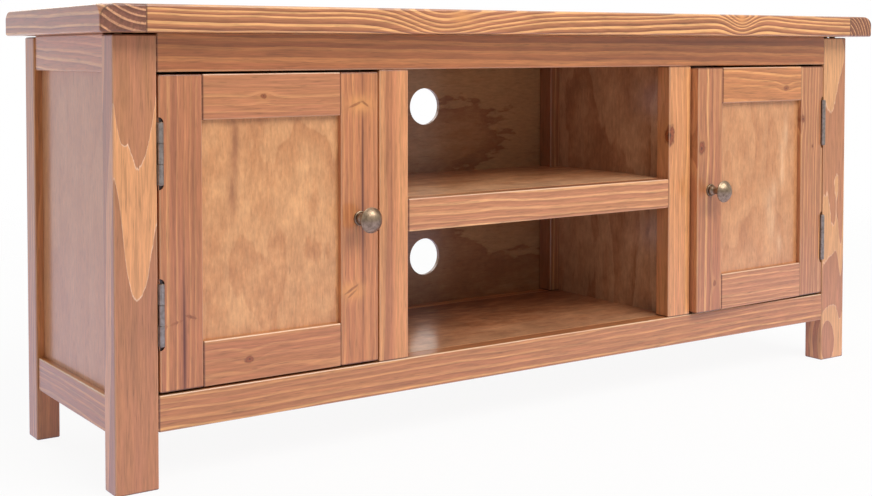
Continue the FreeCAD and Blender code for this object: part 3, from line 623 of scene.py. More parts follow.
@dataclass(frozen=True)
class GrowthRings:
    """The growth rings that a saw lays open: their wandering, raggedness and changing strength."""

    wander: Noise = Noise((0.0055, 0.012, 0.012), 0.0)
    jags: Noise = Noise((0.028, 0.05, 0.05), 1.0)
    patches: Noise = Noise((0.005, 0.03, 0.03), 2.0)
    fibre_jag: float = 0.8
    uneven_waves: float = 0.35
    uneven_step: float = 11.7
    pick_step: float = 0.37
    patch_share: float = 0.3

    def radius(self, point: BoardPoint, cut: Timber, fibre: Reading) -> Reading:
        """Gives how far each point of a board lay from the log's heart.

        Args:
            point: The board's points.
            cut: How the board was sawn.
            fibre: The fibres' streaks.

        Returns:
            The distance in millimetres, pushed aside by the knots and bends.
        """
        sheet = point.sheet
        wander = sheet.noise(point.spot, self.wander, cut.seed)
        sway_across, sway_deep, _ = sheet.split(wander.outputs[1])
        middle, sway = sheet.NOISE_MIDDLE, sheet.NOISE_GAIN * cut.sway
        heart_deep = point.axes.half[2] - cut.heart[1]
        aside = point.across - point.along * cut.lean[0] + (sway_across - middle) * sway - cut.heart[0]
        depth = point.deep - point.along * cut.lean[1] + (sway_deep - middle) * sway + heart_deep
        radius = (aside * aside + depth * depth).root()
        radius = radius + point.level(self.jags, cut.seed) * cut.jag + fibre * (cut.jag * self.fibre_jag)
        for knot in cut.knots:
            if knot.push:
                radius = radius + knot.pushed(point)
        for bend in cut.bends:
            radius = radius + bend.pushed(point)
        return radius

    def read(self, point: BoardPoint, cut: Timber, fibre: Reading) -> tuple[Reading, Reading]:
        """Gives how far through a year each point lies, and how strongly that year shows.

        Args:
            point: The board's points.
            cut: How the board was sawn.
            fibre: The fibres' streaks.

        Returns:
            Nothing where a year begins, up to one where it ends, and the year's strength.
        """
        sheet = point.sheet
        radius = self.radius(point, cut, fibre)
        place = radius * (self.uneven_waves / cut.ring) + cut.seed * self.uneven_step
        uneven = sheet.add("ShaderNodeTexNoise", {"noise_dimensions": "1D"},
                           {"W": place, "Scale": 1.0, "Detail": 1.0})
        drift = (Reading(sheet, uneven.outputs[0]) - sheet.NOISE_MIDDLE) * cut.uneven
        count = radius / cut.ring + drift + cut.start
        pick = sheet.add("ShaderNodeTexWhiteNoise", {"noise_dimensions": "1D"},
                         {"W": count.whole() + cut.seed * self.pick_step})
        patch = point.level(self.patches, cut.seed)
        free = 1.0 - cut.steady
        strength = Reading(sheet, pick.outputs[0]) * free + patch * (free * self.patch_share) + cut.steady
        return count.part(), strength.most(0.0).least(1.0)


@dataclass(frozen=True)
class EdgeWear:
    """Edge marks on a board, in millimetres: pale long edges that are partly wear and partly a painted
    highlight, dark joints where stain gathers, and painted shade in the notches.
    """

    # The pale colour of the long edges: partly wear, partly a painted highlight.
    rubbed: Triple = colour(236, 192, 154)
    # A whiter painted highlight for edges that face up towards the lamp.
    polished: Triple = colour(250, 222, 192)
    joint: Triple = colour(76, 40, 26)
    # Painted shade for the hollow notches, such as the hinge cuts.
    notch: Triple = colour(34, 20, 14)
    upward_turn: Span = (0.15, 0.6)
    arris_width: Span = (0.2, 1.9)
    arris_rag: float = 0.5
    # Shares of the pale edges: the first is partly wear and partly painted highlight, the upward one is
    # painted highlight only.
    rub: float = 0.4
    upward_rub: float = 0.45
    joint_width: Span = (0.6, 2.3)
    notch_depth: Span = (0.7, 1.4)

    def lay(self, point: BoardPoint, cut: Timber, shade: Socket, facing: Socket, fibre: Reading,
            long_face: Reading) -> Socket:
        """Pales the long edges, partly as wear and partly as a painted highlight that is whiter on upward
        edges, darkens the joints with stain and paints shade into the notches.

        Args:
            point: The board's points.
            cut: How the board was sawn.
            shade: The colour so far.
            facing: The way the surface faces.
            fibre: The fibres' streaks.
            long_face: One on the long faces and nothing on the ends.

        Returns:
            The colour with its edges.
        """
        sheet = point.sheet
        # Edges that face up get a stronger, whiter painted highlight.
        upward = sheet.split(facing)[2].rise(*self.upward_turn)
        edge = 1.0 - (point.arris_distance() + fibre * self.arris_rag).rise(*self.arris_width)
        pale = sheet.mix(upward, self.rubbed, self.polished)
        rub = (upward * self.upward_rub + self.rub) * cut.worn
        shade = sheet.mix(edge * long_face * rub, shade, pale)
        joint = 1.0 - point.end_distance().rise(*self.joint_width)
        shade = sheet.mix(joint * long_face * cut.seamed, shade, self.joint)
        # Painted shade wherever the surface lies below the long faces, in the notches.
        if cut.notched:
            shade = sheet.mix(point.hollow().rise(*self.notch_depth) * cut.notched, shade, self.notch)
        return shade


@dataclass(frozen=True)
class KnotLook:
    """How knots and resin look under the stain; widths are in knot radii."""

    heart: Triple = colour(70, 34, 18)
    flesh: Triple = colour(154, 78, 38)
    resin: Triple = colour(96, 42, 28)
    gold: Triple = colour(226, 156, 94)
    rags: Noise = Noise((0.13, 0.22, 0.22), 7.0)
    raggedness: float = 0.3
    halo_width: float = 1.8
    shadow_width: float = 2.0
    shadow: float = 0.3
    years: float = 2.6
    year_edge: Span = (0.3, 1.0)
    year_resin: float = 0.5
    heart_edge: Span = (0.05, 0.45)
    flesh_edge: Span = (0.75, 1.1)
    bark_radius: float = 0.95
    bark_fineness: float = 5.0
    bark: float = 0.35

    def lay(self, point: BoardPoint, cut: Timber, shade: Socket, soft: Triple) -> Socket:
        """Lays the lines of resin and then the knots over a board's colour.

        Args:
            point: The board's points.
            cut: How the board was sawn.
            shade: The colour so far.
            soft: The colour of soft wood, which the knots' shadows take.

        Returns:
            The colour with the lines and knots.
        """
        sheet = point.sheet
        for streak in cut.streaks:
            shade = sheet.mix(streak.share(point), shade, self.resin)
        if not cut.knots:
            return shade
        ragged = point.level(self.rags, cut.seed) * self.raggedness
        for knot in cut.knots:
            away = knot.away(point) + ragged
            if knot.halo:
                shade = sheet.mix((away / self.halo_width).bell() * knot.halo, shade, self.gold)
            if knot.dark:
                shadow = (away / self.shadow_width).bell() * (self.shadow * knot.dark)
                shade = sheet.mix(shadow, shade, soft)
                year = (away * self.years + ragged).part().rise(*self.year_edge)
                flesh = sheet.mix(year * self.year_resin, self.flesh, self.resin)
                flesh = sheet.mix(1.0 - away.rise(*self.heart_edge), flesh, self.heart)
                shade = sheet.mix((1.0 - away.rise(*self.flesh_edge)) * knot.dark, shade, flesh)
                bark = ((away - self.bark_radius) * self.bark_fineness).bell() * (self.bark * knot.dark)
                shade = sheet.mix(bark, shade, self.heart)
        return shade


@dataclass(frozen=True)
class StainedPine:
    """Pine under brown stain and satin lacquer: the soft wood goes dark and the hard rings stay light."""

    rings: GrowthRings = GrowthRings()
    edges: EdgeWear = EdgeWear()
    knots: KnotLook = KnotLook()
    soft: Triple = colour(136, 82, 48)
    body: Triple = colour(188, 124, 78)
    hard: Triple = colour(238, 180, 116)
    pink: Triple = colour(162, 100, 74)
    fibres: Noise = Noise((0.018, 0.34, 0.34), 4.0, 3.0, 0.75)
    bands: Noise = Noise((0.003, 0.045, 0.045), 3.0, 4.0, 0.8)
    flecks: Noise = Noise((0.05, 0.55, 0.55), 5.0, 1.0)
    fleck_edge: Span = (0.4, 1.0)
    soft_share: float = 0.7
    hard_share: float = 0.7
    pink_base: float = 0.2
    pink_band: float = 0.4
    pink_fibre: float = 0.2
    pink_most: float = 0.85
    base_light: float = 1.05
    fibre_light: float = 0.36
    band_light: float = 0.14
    fleck_dark: float = 0.2
    rim_gain: float = 4.0
    end_soft: float = 0.6
    end_ring: float = 0.6
    end_shade: float = 0.4
    end_tint: Triple = (1.03, 0.97, 1.15)
    lacquer: float = 0.9
    lacquer_roughness: float = 0.2
    roughness: float = 0.48
    fibre_roughness: float = 0.05
    end_roughness: float = 0.15
    refraction: float = 1.5
    specular: float = 0.3
    ring_relief: float = 0.6
    relief: Span = (0.25, 0.1)

    def dress(self, piece: Piece, cut: Timber, swing: float = 0.0) -> None:
        """Gives a board its finish.

        Args:
            piece: The board.
            cut: How it was sawn.
            swing: How far the board is turned about the upright, in radians.
        """
        material, sheet = NodeSheet.for_material(f"pine_{piece.name}")
        point = BoardPoint.on(sheet, BoardAxes.of(piece, cut.grain, cut.face, swing))
        facing = sheet.coordinates("Normal")
        end = point.end_share(facing)
        fibre = point.level(self.fibres, cut.seed)
        band = point.level(self.bands, cut.seed)
        fleck = point.level(self.flecks, cut.seed).rise(*self.fleck_edge)
        year, strength = self.rings.read(point, cut, fibre)
        turn_light = 1.0 - cut.late
        glow = year.rise(turn_light - cut.fade, turn_light) * (1.0 - year.rise(1.0 - cut.crisp, 1.0))
        light = glow * strength
        dark = (1.0 - year.rise(0.0, turn_light * self.soft_share)) * strength * (cut.dusk * cut.contrast)
        shade = sheet.mix((dark + end * self.end_soft).least(1.0), self.body, self.soft)
        pink = band * self.pink_band + fibre * self.pink_fibre + self.pink_base + cut.blush
        shade = sheet.mix(pink.most(0.0).least(self.pink_most), shade, self.pink)
        hard = tuple(channel * tint for channel, tint in zip(self.hard, cut.light_tint))
        shade = sheet.mix((light * (cut.contrast * self.hard_share)).least(1.0), shade, hard)
        if cut.rim:
            shade = sheet.mix(glow * (1.0 - glow) * (self.rim_gain * cut.rim), shade, self.edges.rubbed)
        tone = fibre * self.fibre_light + band * self.band_light - fleck * self.fleck_dark + self.base_light
        shade = sheet.brighten(shade, tone * cut.tone)
        shade = sheet.tinted(shade, cut.tint)
        shade = self.knots.lay(point, cut, shade, self.soft)
        shade = sheet.brighten(shade, 1.0 - end * (1.0 - light * self.end_ring) * self.end_shade)
        shade = sheet.mix(end, shade, sheet.tinted(shade, self.end_tint))
        shade = self.edges.lay(point, cut, shade, facing, fibre, 1.0 - end)
        roughness = fibre * self.fibre_roughness + self.roughness + end * self.end_roughness
        sheet.end({"Base Color": shade, "Roughness": roughness,
                   "IOR": self.refraction, "Specular IOR Level": self.specular,
                   "Coat Weight": self.lacquer, "Coat Roughness": self.lacquer_roughness,
                   "Normal": sheet.bump(fibre + light * self.ring_relief, *self.relief)})
        put_on(piece, material)

    def dress_all(self, nodes: dict[str, Piece], cuts: dict[str, Timber]) -> None:
        """Gives several boards their finishes.

        Args:
            nodes: The frame's pieces by name.
            cuts: How each board was sawn, by the piece's name.
        """
        for name, cut in cuts.items():
            self.dress(nodes[name], cut)


@dataclass(frozen=True)
class Veneer:
    """How one sheet of ply was peeled.

    Attributes:
        grain: The way its fibres run.
        face: The face that shows most.
        seed: The sheet's own spot in the noises.
        levels: How many bands its figure has.
        contrast: How strongly the bands show.
        tone: The sheet's brightness.
        tint: The sheet's hue.
        cloudy: How unevenly it took the stain.
        jag: How ragged the bands are.
        figure: Waves to a millimetre of the figure, along and across.
        gloss: The lacquer's roughness.
        swells: The places where the figure is pushed aside.
        dark_marks: Dark lines in its figure, and broad bands of painted shade.
        light_marks: Pale lines in its figure, and broad bands of painted light.
    """

    grain: Grain
    face: Face
    seed: float
    levels: float = 5.0
    contrast: float = 1.0
    tone: float = 1.0
    tint: Triple = WHITE
    cloudy: float = 0.1
    jag: float = 0.25
    figure: Span = (0.0026, 0.013)
    gloss: float = 0.2
    swells: tuple[Bend, ...] = ()
    # Dark lines of figure, and broad bands of painted shade.
    dark_marks: tuple[Streak, ...] = ()
    # Pale lines of figure, and broad bands of painted light.
    light_marks: tuple[Streak, ...] = ()


@dataclass(frozen=True)
class StainedPly:
    """Peeled softwood ply under the same stain and lacquer."""

    low: Triple = colour(178, 114, 68)
    middle: Triple = colour(205, 144, 92)
    high: Triple = colour(230, 180, 126)
    pale: Triple = colour(240, 197, 149)
    tick: Triple = colour(150, 94, 58)
    rags: Noise = Noise((0.03, 0.09, 0.09), 1.0, 3.0)
    fibres: Noise = Noise((0.075, 0.3, 0.3), 2.0, 4.0, 0.65)
    clouds: Noise = Noise((0.022, 0.03, 0.03), 4.0, 4.0, 0.7)
    ticks: Noise = Noise((0.06, 0.4, 0.4), 6.0, 1.0)
    band_stops: tuple[float, ...] = (0.0, 0.3, 0.7, 0.93, 1.0)
    first_level: float = 0.45
    jag_share: float = 0.5
    band_share: float = 0.6
    cloud_edge: Span = (-0.7, 1.0)
    cloud_share: float = 4.0
    cloud_most: float = 0.5
    tick_edge: Span = (0.5, 1.1)
    tick_share: float = 0.3
    base_light: float = 0.98
    fibre_light: float = 0.17
    lacquer: float = 0.9
    roughness: float = 0.48
    fibre_roughness: float = 0.05
    refraction: float = 1.5
    specular: float = 0.3
    relief: Span = (0.2, 0.12)

    def figure(self, point: BoardPoint, peel: Veneer, ragged: Reading) -> Socket:
        """Gives the bands that the knife laid open.

        Args:
            point: The panel's points.
            peel: How its veneer was peeled.
            ragged: The noise that frays the bands.

        Returns:
            The bands' colour.
        """
        along_waves, across_waves = peel.figure
        hills = point.level(Noise((along_waves, across_waves, across_waves), 0.0), peel.seed)
        height = hills * (peel.levels / NodeSheet.NOISE_GAIN) + ragged * (peel.jag * self.jag_share)
        height = height + self.first_level
        for swell in peel.swells:
            height = height + swell.pushed(point)
        shades = (self.low, self.middle, self.high, self.high, self.low)
        stops = list(zip(self.band_stops, shades))
        return point.sheet.add("ShaderNodeValToRGB", {"stops": stops}, {0: height.part()}).outputs[0]

    def dress(self, piece: Piece, peel: Veneer, swing: float = 0.0) -> None:
        """Gives a panel its finish.

        Args:
            piece: The panel.
            peel: How its veneer was peeled.
            swing: How far the panel is turned about the upright, in radians.
        """
        material, sheet = NodeSheet.for_material(f"ply_{piece.name}")
        point = BoardPoint.on(sheet, BoardAxes.of(piece, peel.grain, peel.face, swing))
        ragged = point.level(self.rags, peel.seed)
        fibre = point.level(self.fibres, peel.seed)
        cloud = point.level(self.clouds, peel.seed)
        tick = point.level(self.ticks, peel.seed).rise(*self.tick_edge)
        bands = self.figure(point, peel, ragged)
        shade = sheet.mix(min(1.0, self.band_share * peel.contrast), self.middle, bands)
        cloud_share = min(self.cloud_most, peel.cloudy * self.cloud_share)
        shade = sheet.mix(cloud.rise(*self.cloud_edge) * cloud_share, shade, self.high)
        shade = sheet.mix(tick * self.tick_share, shade, self.tick)
        # Dark and pale marks are lines of figure; on the bay's floor, shelf and back they are also broad
        # bands of painted shade and painted light.
        for marks, mark_shade in ((peel.dark_marks, self.tick), (peel.light_marks, self.pale)):
            for mark in marks:
                shade = sheet.mix(mark.share(point, ragged), shade, mark_shade)
        tone = fibre * self.fibre_light + cloud * peel.cloudy + self.base_light
        shade = sheet.brighten(shade, tone * peel.tone)
        shade = sheet.tinted(shade, peel.tint)
        sheet.end({"Base Color": shade, "Roughness": fibre * self.fibre_roughness + self.roughness,
                   "IOR": self.refraction, "Specular IOR Level": self.specular,
                   "Coat Weight": self.lacquer, "Coat Roughness": peel.gloss,
                   "Normal": sheet.bump(fibre, *self.relief)})
        put_on(piece, material)


@dataclass(frozen=True)
class WornMetal:
    """Turned or drawn metal with a patina in patches."""

    name: str
    bright: Triple
    dull: Triple
    roughness: float
    brushing: Noise
    patches: Noise = Noise((260.0, 260.0, 260.0), 2.0, 3.0)
    dull_base: float = 0.45
    dull_patch: float = 0.3
    dull_brushed: float = 0.2
    patch_roughness: float = 0.06
    brushed_roughness: float = 0.05
    relief: Span = (0.12, 0.05)

    def dress(self, piece: Piece) -> None:
        """Gives a fitting its finish.

        Args:
            piece: The fitting.
        """
        material, sheet = NodeSheet.for_material(f"{self.name}_{piece.name}")
        place = sheet.coordinates("Object")
        patch = sheet.level(place, self.patches)
        brushed = sheet.level(place, self.brushing)
        dull = patch * self.dull_patch + brushed * self.dull_brushed + self.dull_base
        roughness = patch * self.patch_roughness + brushed * self.brushed_roughness + self.roughness
        sheet.end({"Base Color": sheet.mix(dull.rise(0.0, 1.0), self.bright, self.dull), "Metallic": 1.0,
                   "Roughness": roughness, "Normal": sheet.bump(brushed, *self.relief)})
        put_on(piece, material)


@dataclass(frozen=True)
class Beech:
    """Plain beech of the dowels: pale, with short dark flecks."""

    pale: Triple = colour(214, 176, 134)
    fleck: Triple = colour(166, 120, 82)
    flecks: Noise = Noise((300.0, 900.0, 900.0), 4.0)
    fleck_edge: Span = (0.2, 0.9)
    fleck_share: float = 0.6
    roughness: float = 0.6
    fleck_roughness: float = 0.1
    relief: Span = (0.15, 0.1)

    def dress(self, piece: Piece) -> None:
        """Gives the dowels their finish.

        Args:
            piece: The dowels.
        """
        material, sheet = NodeSheet.for_material(f"beech_{piece.name}")
        fleck = sheet.level(sheet.coordinates("Object"), self.flecks).rise(*self.fleck_edge)
        sheet.end({"Base Color": sheet.mix(fleck * self.fleck_share, self.pale, self.fleck),
                   "Roughness": fleck * self.fleck_roughness + self.roughness,
                   "Normal": sheet.bump(fleck, *self.relief)})
        put_on(piece, material)


@dataclass(frozen=True)
class MouldedPlastic:
    """Brown moulded plastic of the catches, with a fine spark-eroded skin."""

    shade: Triple = colour(84, 54, 38)
    scuffed: Triple = colour(112, 78, 58)
    skin: Noise = Noise((1500.0, 1500.0, 1500.0), 6.0)
    scuffs: Noise = Noise((120.0, 120.0, 120.0), 8.0, 3.0)
    scuff_edge: Span = (0.1, 1.2)
    roughness: float = 0.5
    skin_roughness: float = 0.05
    relief: Span = (0.2, 0.08)

    def dress(self, piece: Piece) -> None:
        """Gives the catches their finish.

        Args:
            piece: The catches.
        """
        material, sheet = NodeSheet.for_material(f"plastic_{piece.name}")
        place = sheet.coordinates("Object")
        skin = sheet.level(place, self.skin)
        scuff = sheet.level(place, self.scuffs).rise(*self.scuff_edge)
        sheet.end({"Base Color": sheet.mix(scuff, self.shade, self.scuffed),
                   "Roughness": skin * self.skin_roughness + self.roughness,
                   "Normal": sheet.bump(skin, *self.relief)})
        put_on(piece, material)


PINE = StainedPine()
PLY = StainedPly()
KNOB_METAL = WornMetal("nickel", colour(167, 145, 122), colour(114, 96, 78), roughness=0.38,
                       brushing=Noise((900.0, 900.0, 60.0), 5.0))
HINGE_STEEL = WornMetal("steel", colour(166, 156, 147), colour(122, 112, 104), roughness=0.4,
                        brushing=Noise((900.0, 900.0, 90.0), 5.0))
SCREW_STEEL = WornMetal("zinc", colour(200, 196, 186), colour(150, 144, 132), roughness=0.35,
                        brushing=Noise((700.0, 700.0, 700.0), 5.0))


def put_on(piece: Piece, material: bpy.types.Material) -> None:
    """Puts a material on every slot of a piece, and reports it.

    Args:
        piece: The piece to dress.
        material: Its finish.
    """
    if not piece.material_slots:
        piece.data.materials.append(material)
    for slot in piece.material_slots:
        slot.link = "OBJECT"
        slot.material = material
    LOG.info("%s wears %s", piece.name, material.name)


def in_scene(name: str, data: bpy.types.ID) -> Piece:
    """Makes an object and adds it to the scene.

    Args:
        name: The object's name.
        data: Its mesh, lamp or camera.

    Returns:
        The object.
    """
    made = bpy.data.objects.new(name, data)
    bpy.context.scene.collection.objects.link(made)
    return made


def mesh_of(name: str, shape: Shape) -> bpy.types.Mesh:
    """Turns a shape into a mesh.

    Args:
        name: The mesh's name.
        shape: The shape; it is freed.

    Returns:
        The mesh.
    """
    mesh = bpy.data.meshes.new(name)
    shape.to_mesh(mesh)
    shape.free()
    return mesh


def new_piece(name: str, shape: Shape, body: str, slot: str, *stands_for: str) -> Piece:
    """Makes a piece of a shape.

    Args:
        name: The piece's name.
        shape: Its mesh, in metres and in place; it is freed.
        body: The body it rides on.
        slot: Not used.
        *stands_for: The pieces of the frame it stands for.

    Returns:
        The new piece.
    """
    for face in shape.faces:
        face.smooth = True
    for edge in shape.edges:
        edge.smooth = len(edge.link_faces) == 2 and edge.calc_face_angle() < SHARP_ANGLE
    piece = in_scene(name, mesh_of(name, shape))
    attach(piece, body)
    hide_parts(*stands_for)
    LOG.info("%s made for %s", name, ", ".join(stands_for))
    return piece


def turned(shape: Shape, profile: list[Span], seat: Matrix, steps: int) -> None:
    """Turns a profile on a lathe and adds it to a shape.

    Args:
        shape: The mesh to add to.
        profile: Radius and reach in millimetres, from one end of the axis to the other.
        seat: Where the axis stands; the reach runs along its third axis.
        steps: How many steps a full turn has.
    """
    line = [shape.verts.new((radius * MM, 0.0, reach * MM)) for radius, reach in profile]
    edges = [shape.edges.new(pair) for pair in zip(line, line[1:])]
    before = set(shape.verts) - set(line)
    bmesh.ops.spin(shape, geom=line + edges, cent=(0, 0, 0), axis=(0, 0, 1), angle=math.tau,
                   steps=steps, use_merge=True)
    fresh = [vert for vert in shape.verts if vert not in before]
    bmesh.ops.remove_doubles(shape, verts=fresh, dist=WELD)
    fresh = [vert for vert in shape.verts if vert not in before]
    faces = list(dict.fromkeys(face for vert in fresh for face in vert.link_faces))
    bmesh.ops.recalc_face_normals(shape, faces=faces)
    bmesh.ops.transform(shape, matrix=seat, verts=fresh)


def block(shape: Shape, low: Triple, high: Triple, bevel: float, seat: Matrix) -> None:
    """Adds a bevelled block to a shape.

    Args:
        shape: The mesh to add to.
        low: Lowest corner in millimetres.
        high: Highest corner in millimetres.
        bevel: Width of the bevel in millimetres.
        seat: Where the block's own axes stand.
    """
    size = Vector(high) - Vector(low)
    middle = (Vector(high) + Vector(low)) / 2
    place = Matrix.Translation(middle * MM) @ Matrix.Diagonal((*(size * MM), 1.0))
    made = bmesh.ops.create_cube(shape, size=1.0, matrix=place)["verts"]
    edges = list(dict.fromkeys(edge for vert in made for edge in vert.link_edges))
    cut = bmesh.ops.bevel(shape, geom=edges, offset=bevel * MM, affect="EDGES", segments=2, profile=0.5,
                          material=-1)
    fresh = list(dict.fromkeys(vert for face in cut["faces"] for vert in face.verts))
    bmesh.ops.transform(shape, matrix=seat, verts=fresh)


@dataclass(frozen=True)
class HingeLine:
    """Where a door turns: its axis and how far it stands open at rest."""

    side: Side
    axis: Span
    ajar: float

    @classmethod
    def of(cls, side: Side, joints: list[dict[str, Any]]) -> HingeLine:
        """Reads a door's hinge from the frame.

        Args:
            side: The door's side.
            joints: The frame's joints.

        Returns:
            The hinge line.
        """
        joint = next(j for j in joints if j["name"] == f"{side.word}_door_hinge")
        return cls(side, tuple(joint["pos_m"][:2]), math.radians(-joint["range_deg"][0]))

    @property
    def swing(self) -> float:
        """The turn of the resting door about the upright, in radians."""
        return self.ajar * self.side.value

    def seat(self, height: float, away: float, deep: float, swinging: bool) -> Matrix:
        """Gives a place beside the hinge axis, with x away from the leg, y into the stand and z up.

        Args:
            height: Height above the floor in millimetres.
            away: Millimetres from the axis towards the middle of the stand.
            deep: Millimetres from the axis into the stand.
            swinging: Whether the place moves with the door.

        Returns:
            The place as a matrix; on the right side its first axis is turned over.
        """
        here = Matrix.Translation((*self.axis, 0.0))
        turn = Matrix.Rotation(self.swing if swinging else 0.0, 4, "Z")
        mirror = Matrix.Diagonal((-self.side.value, 1.0, 1.0, 1.0))
        return here @ turn @ mirror @ Matrix.Translation((away * MM, deep * MM, height * MM))


@dataclass
class Knob:
    """A turned knob: a rosette with a bead, a slim neck and a domed head, in millimetres."""

    line: HingeLine
    lever: float = 246.6
    door_face: float = 1.2
    height: float = 263.5
    base_radius: float = 8.4
    bead_radius: float = 6.7
    neck_radius: float = 4.5
    neck_reach: float = 9.0
    flare_reach: float = 15.0
    flare_rim: Span = (0.5, 0.9)
    rim_radius: float = 14.5
    rim_reach: float = 22.5
    dome_rim: float = 0.5
    reach: float = 30.5
    steps: int = 96
    dome_steps: int = 14
    flare_steps: int = 8

    def foot(self) -> list[Span]:
        """Gives the outline of the rosette, the bead and the neck.

        Returns:
            Radius and reach, from the door to the neck.
        """
        base, bead, neck = self.base_radius, self.bead_radius, self.neck_radius
        rosette = [(0.0, 0.0), (base, 0.0), (base, 1.3), (base - 0.25, 1.9), (base - 0.8, 2.2),
                   (base - 1.4, 2.0), (base - 1.9, 1.5)]
        round_bead = [(bead - 0.5, 1.6), (bead - 0.15, 2.6), (bead, 3.8), (bead - 0.3, 5.2),
                      (bead - 1.0, 6.4)]
        cove = [(neck + 0.6, 7.2), (neck + 0.2, 7.9), (neck, self.neck_reach)]
        return rosette + round_bead + cove

    def head(self) -> list[Span]:
        """Gives the outline of the flare, the rim and the dome.

        Returns:
            Radius and reach, from the neck to the tip of the head.
        """
        neck, rim, rim_reach = self.neck_radius, self.rim_radius, self.rim_reach
        inset, drop = self.flare_rim
        line = []
        for step in range(self.flare_steps + 1):
            share = step / self.flare_steps
            spread = 1 - math.cos(share * math.pi / 2)
            climb = math.sin(share * math.pi / 2)
            line.append((neck + (rim - inset - neck) * spread,
                         self.flare_reach + (rim_reach - drop - self.flare_reach) * climb))
        line += [(rim - 0.12, rim_reach - 0.6), (rim, rim_reach - 0.1), (rim - 0.15, rim_reach + 0.5)]
        rise = self.reach - rim_reach
        dome = (rim ** 2 + rise ** 2) / (2 * rise)
        widest = math.asin(min(1.0, (rim - self.dome_rim) / dome))
        for step in range(self.dome_steps + 1):
            angle = widest * (1 - step / self.dome_steps)
            line.append((dome * math.sin(angle), self.reach - dome + dome * math.cos(angle)))
        return line

    def build(self) -> None:
        """Turns the knob, puts it on its door and dresses it."""
        word = self.line.side.word
        forward = Matrix.Rotation(math.radians(90), 4, "X")
        seat = self.line.seat(self.height, self.lever, self.door_face, swinging=True) @ forward
        shape = bmesh.new()
        turned(shape, self.foot() + self.head(), seat, self.steps)
        bmesh.ops.recalc_face_normals(shape, faces=shape.faces)
        piece = new_piece(f"{word}_turned_knob", shape, f"{word}_door", "knob_metal", f"{word}_knob")
        KNOB_METAL.dress(piece)


@dataclass
class Hinges:
    """The four butt hinges: leaves with rolled knuckles and pins with domed ends, in millimetres."""

    lines: tuple[HingeLine, ...]
    heights: Span = (180.5, 346.5)
    length: float = 64.0
    barrel_radius: float = 3.2
    barrel_clearance: float = 0.3
    knuckle_gap: float = 0.2
    knuckle_chamfer: float = 0.35
    leaf_depth: float = 17.0
    leaf_thick: float = 0.8
    leaf_bevel: float = 0.2
    neck_start: float = 1.2
    neck_bevel: float = 0.1
    frame_leaf_near: float = -3.4
    door_leaf_near: float = -2.2
    pin_radius: float = 1.5
    pin_slack: float = 0.05
    pin_collar: float = 1.0
    pin_head_radius: float = 2.4
    pin_head_thick: float = 0.8
    steps: int = 40

    @property
    def knuckle_length(self) -> float:
        """The length of each of the three knuckles."""
        return (self.length - 2 * self.knuckle_gap) / 3

    def knuckle(self, shape: Shape, low: float, high: float, seat: Matrix) -> None:
        """Adds one rolled knuckle with chamfered ends round the pin."""
        bore, rim, cut = self.pin_radius + self.pin_slack, self.barrel_radius, self.knuckle_chamfer
        turned(shape, [(bore, low), (rim - cut, low), (rim, low + cut), (rim, high - cut), (rim - cut, high),
                       (bore, high), (bore, low)], seat, self.steps)

    def leaf(self, shape: Shape, line: HingeLine, height: float, swinging: bool) -> None:
        """Adds one leaf with its knuckles.

        Args:
            shape: The mesh to add to.
            line: The door's hinge line.
            height: The hinge's middle above the floor.
            swinging: Whether it is the door's leaf.
        """
        seat = line.seat(height, 0.0, 0.0, swinging)
        half, middle = self.length / 2, self.knuckle_length / 2
        near = self.door_leaf_near if swinging else self.frame_leaf_near
        far = near + self.leaf_thick
        outer = [(-half, -middle - self.knuckle_gap), (middle + self.knuckle_gap, half)]
        own = [(-middle, middle)] if swinging else outer
        clear = self.barrel_radius + self.barrel_clearance
        block(shape, (near, clear, -half), (far, self.leaf_depth, half), self.leaf_bevel, seat)
        for low, high in own:
            block(shape, (near, self.neck_start, low), (far, clear, high), self.neck_bevel, seat)
            self.knuckle(shape, low, high, seat)

    def pin(self, shape: Shape, line: HingeLine, height: float) -> None:
        """Adds one pin with a domed head at each end.

        Args:
            shape: The mesh to add to.
            line: The door's hinge line.
            height: The hinge's middle above the floor.
        """
        half, head, thick = self.length / 2, self.pin_head_radius, self.pin_head_thick
        dome = [(head, half), (head - 0.1, half + thick * 0.5), (head - 0.6, half + thick * 0.85),
                (0.0, half + thick)]
        upper = [(self.pin_radius, half - self.pin_collar), (self.pin_radius, half), *dome]
        lower = [(radius, -reach) for radius, reach in reversed(upper)]
        turned(shape, lower + upper, line.seat(height, 0.0, 0.0, False), self.steps)

    def build(self) -> None:
        """Makes the leaves and pins and dresses them."""
        frame_leaves, pins = bmesh.new(), bmesh.new()
        for line in self.lines:
            word = line.side.word
            door_leaves = bmesh.new()
            for height in self.heights:
                self.leaf(frame_leaves, line, height, swinging=False)
                self.leaf(door_leaves, line, height, swinging=True)
                self.pin(pins, line, height)
            self.make(f"{word}_rolled_door_leaves", door_leaves, f"{word}_door",
                      f"{word}_hinge_door_leaves")
        self.make("rolled_frame_leaves", frame_leaves, "cabinet", "hinge_frame_leaves")
        self.make("domed_pins", pins, "cabinet", "hinge_pins")

    @staticmethod
    def make(name: str, shape: Shape, body: str, node: str) -> None:
        """Makes a steel piece of a shape and dresses it.

        Args:
            name: The piece's name.
            shape: Its mesh.
            body: The body it rides on.
            node: The frame's piece it stands for.
        """
        bmesh.ops.recalc_face_normals(shape, faces=shape.faces)
        HINGE_STEEL.dress(new_piece(name, shape, body, "hinge_steel", node))


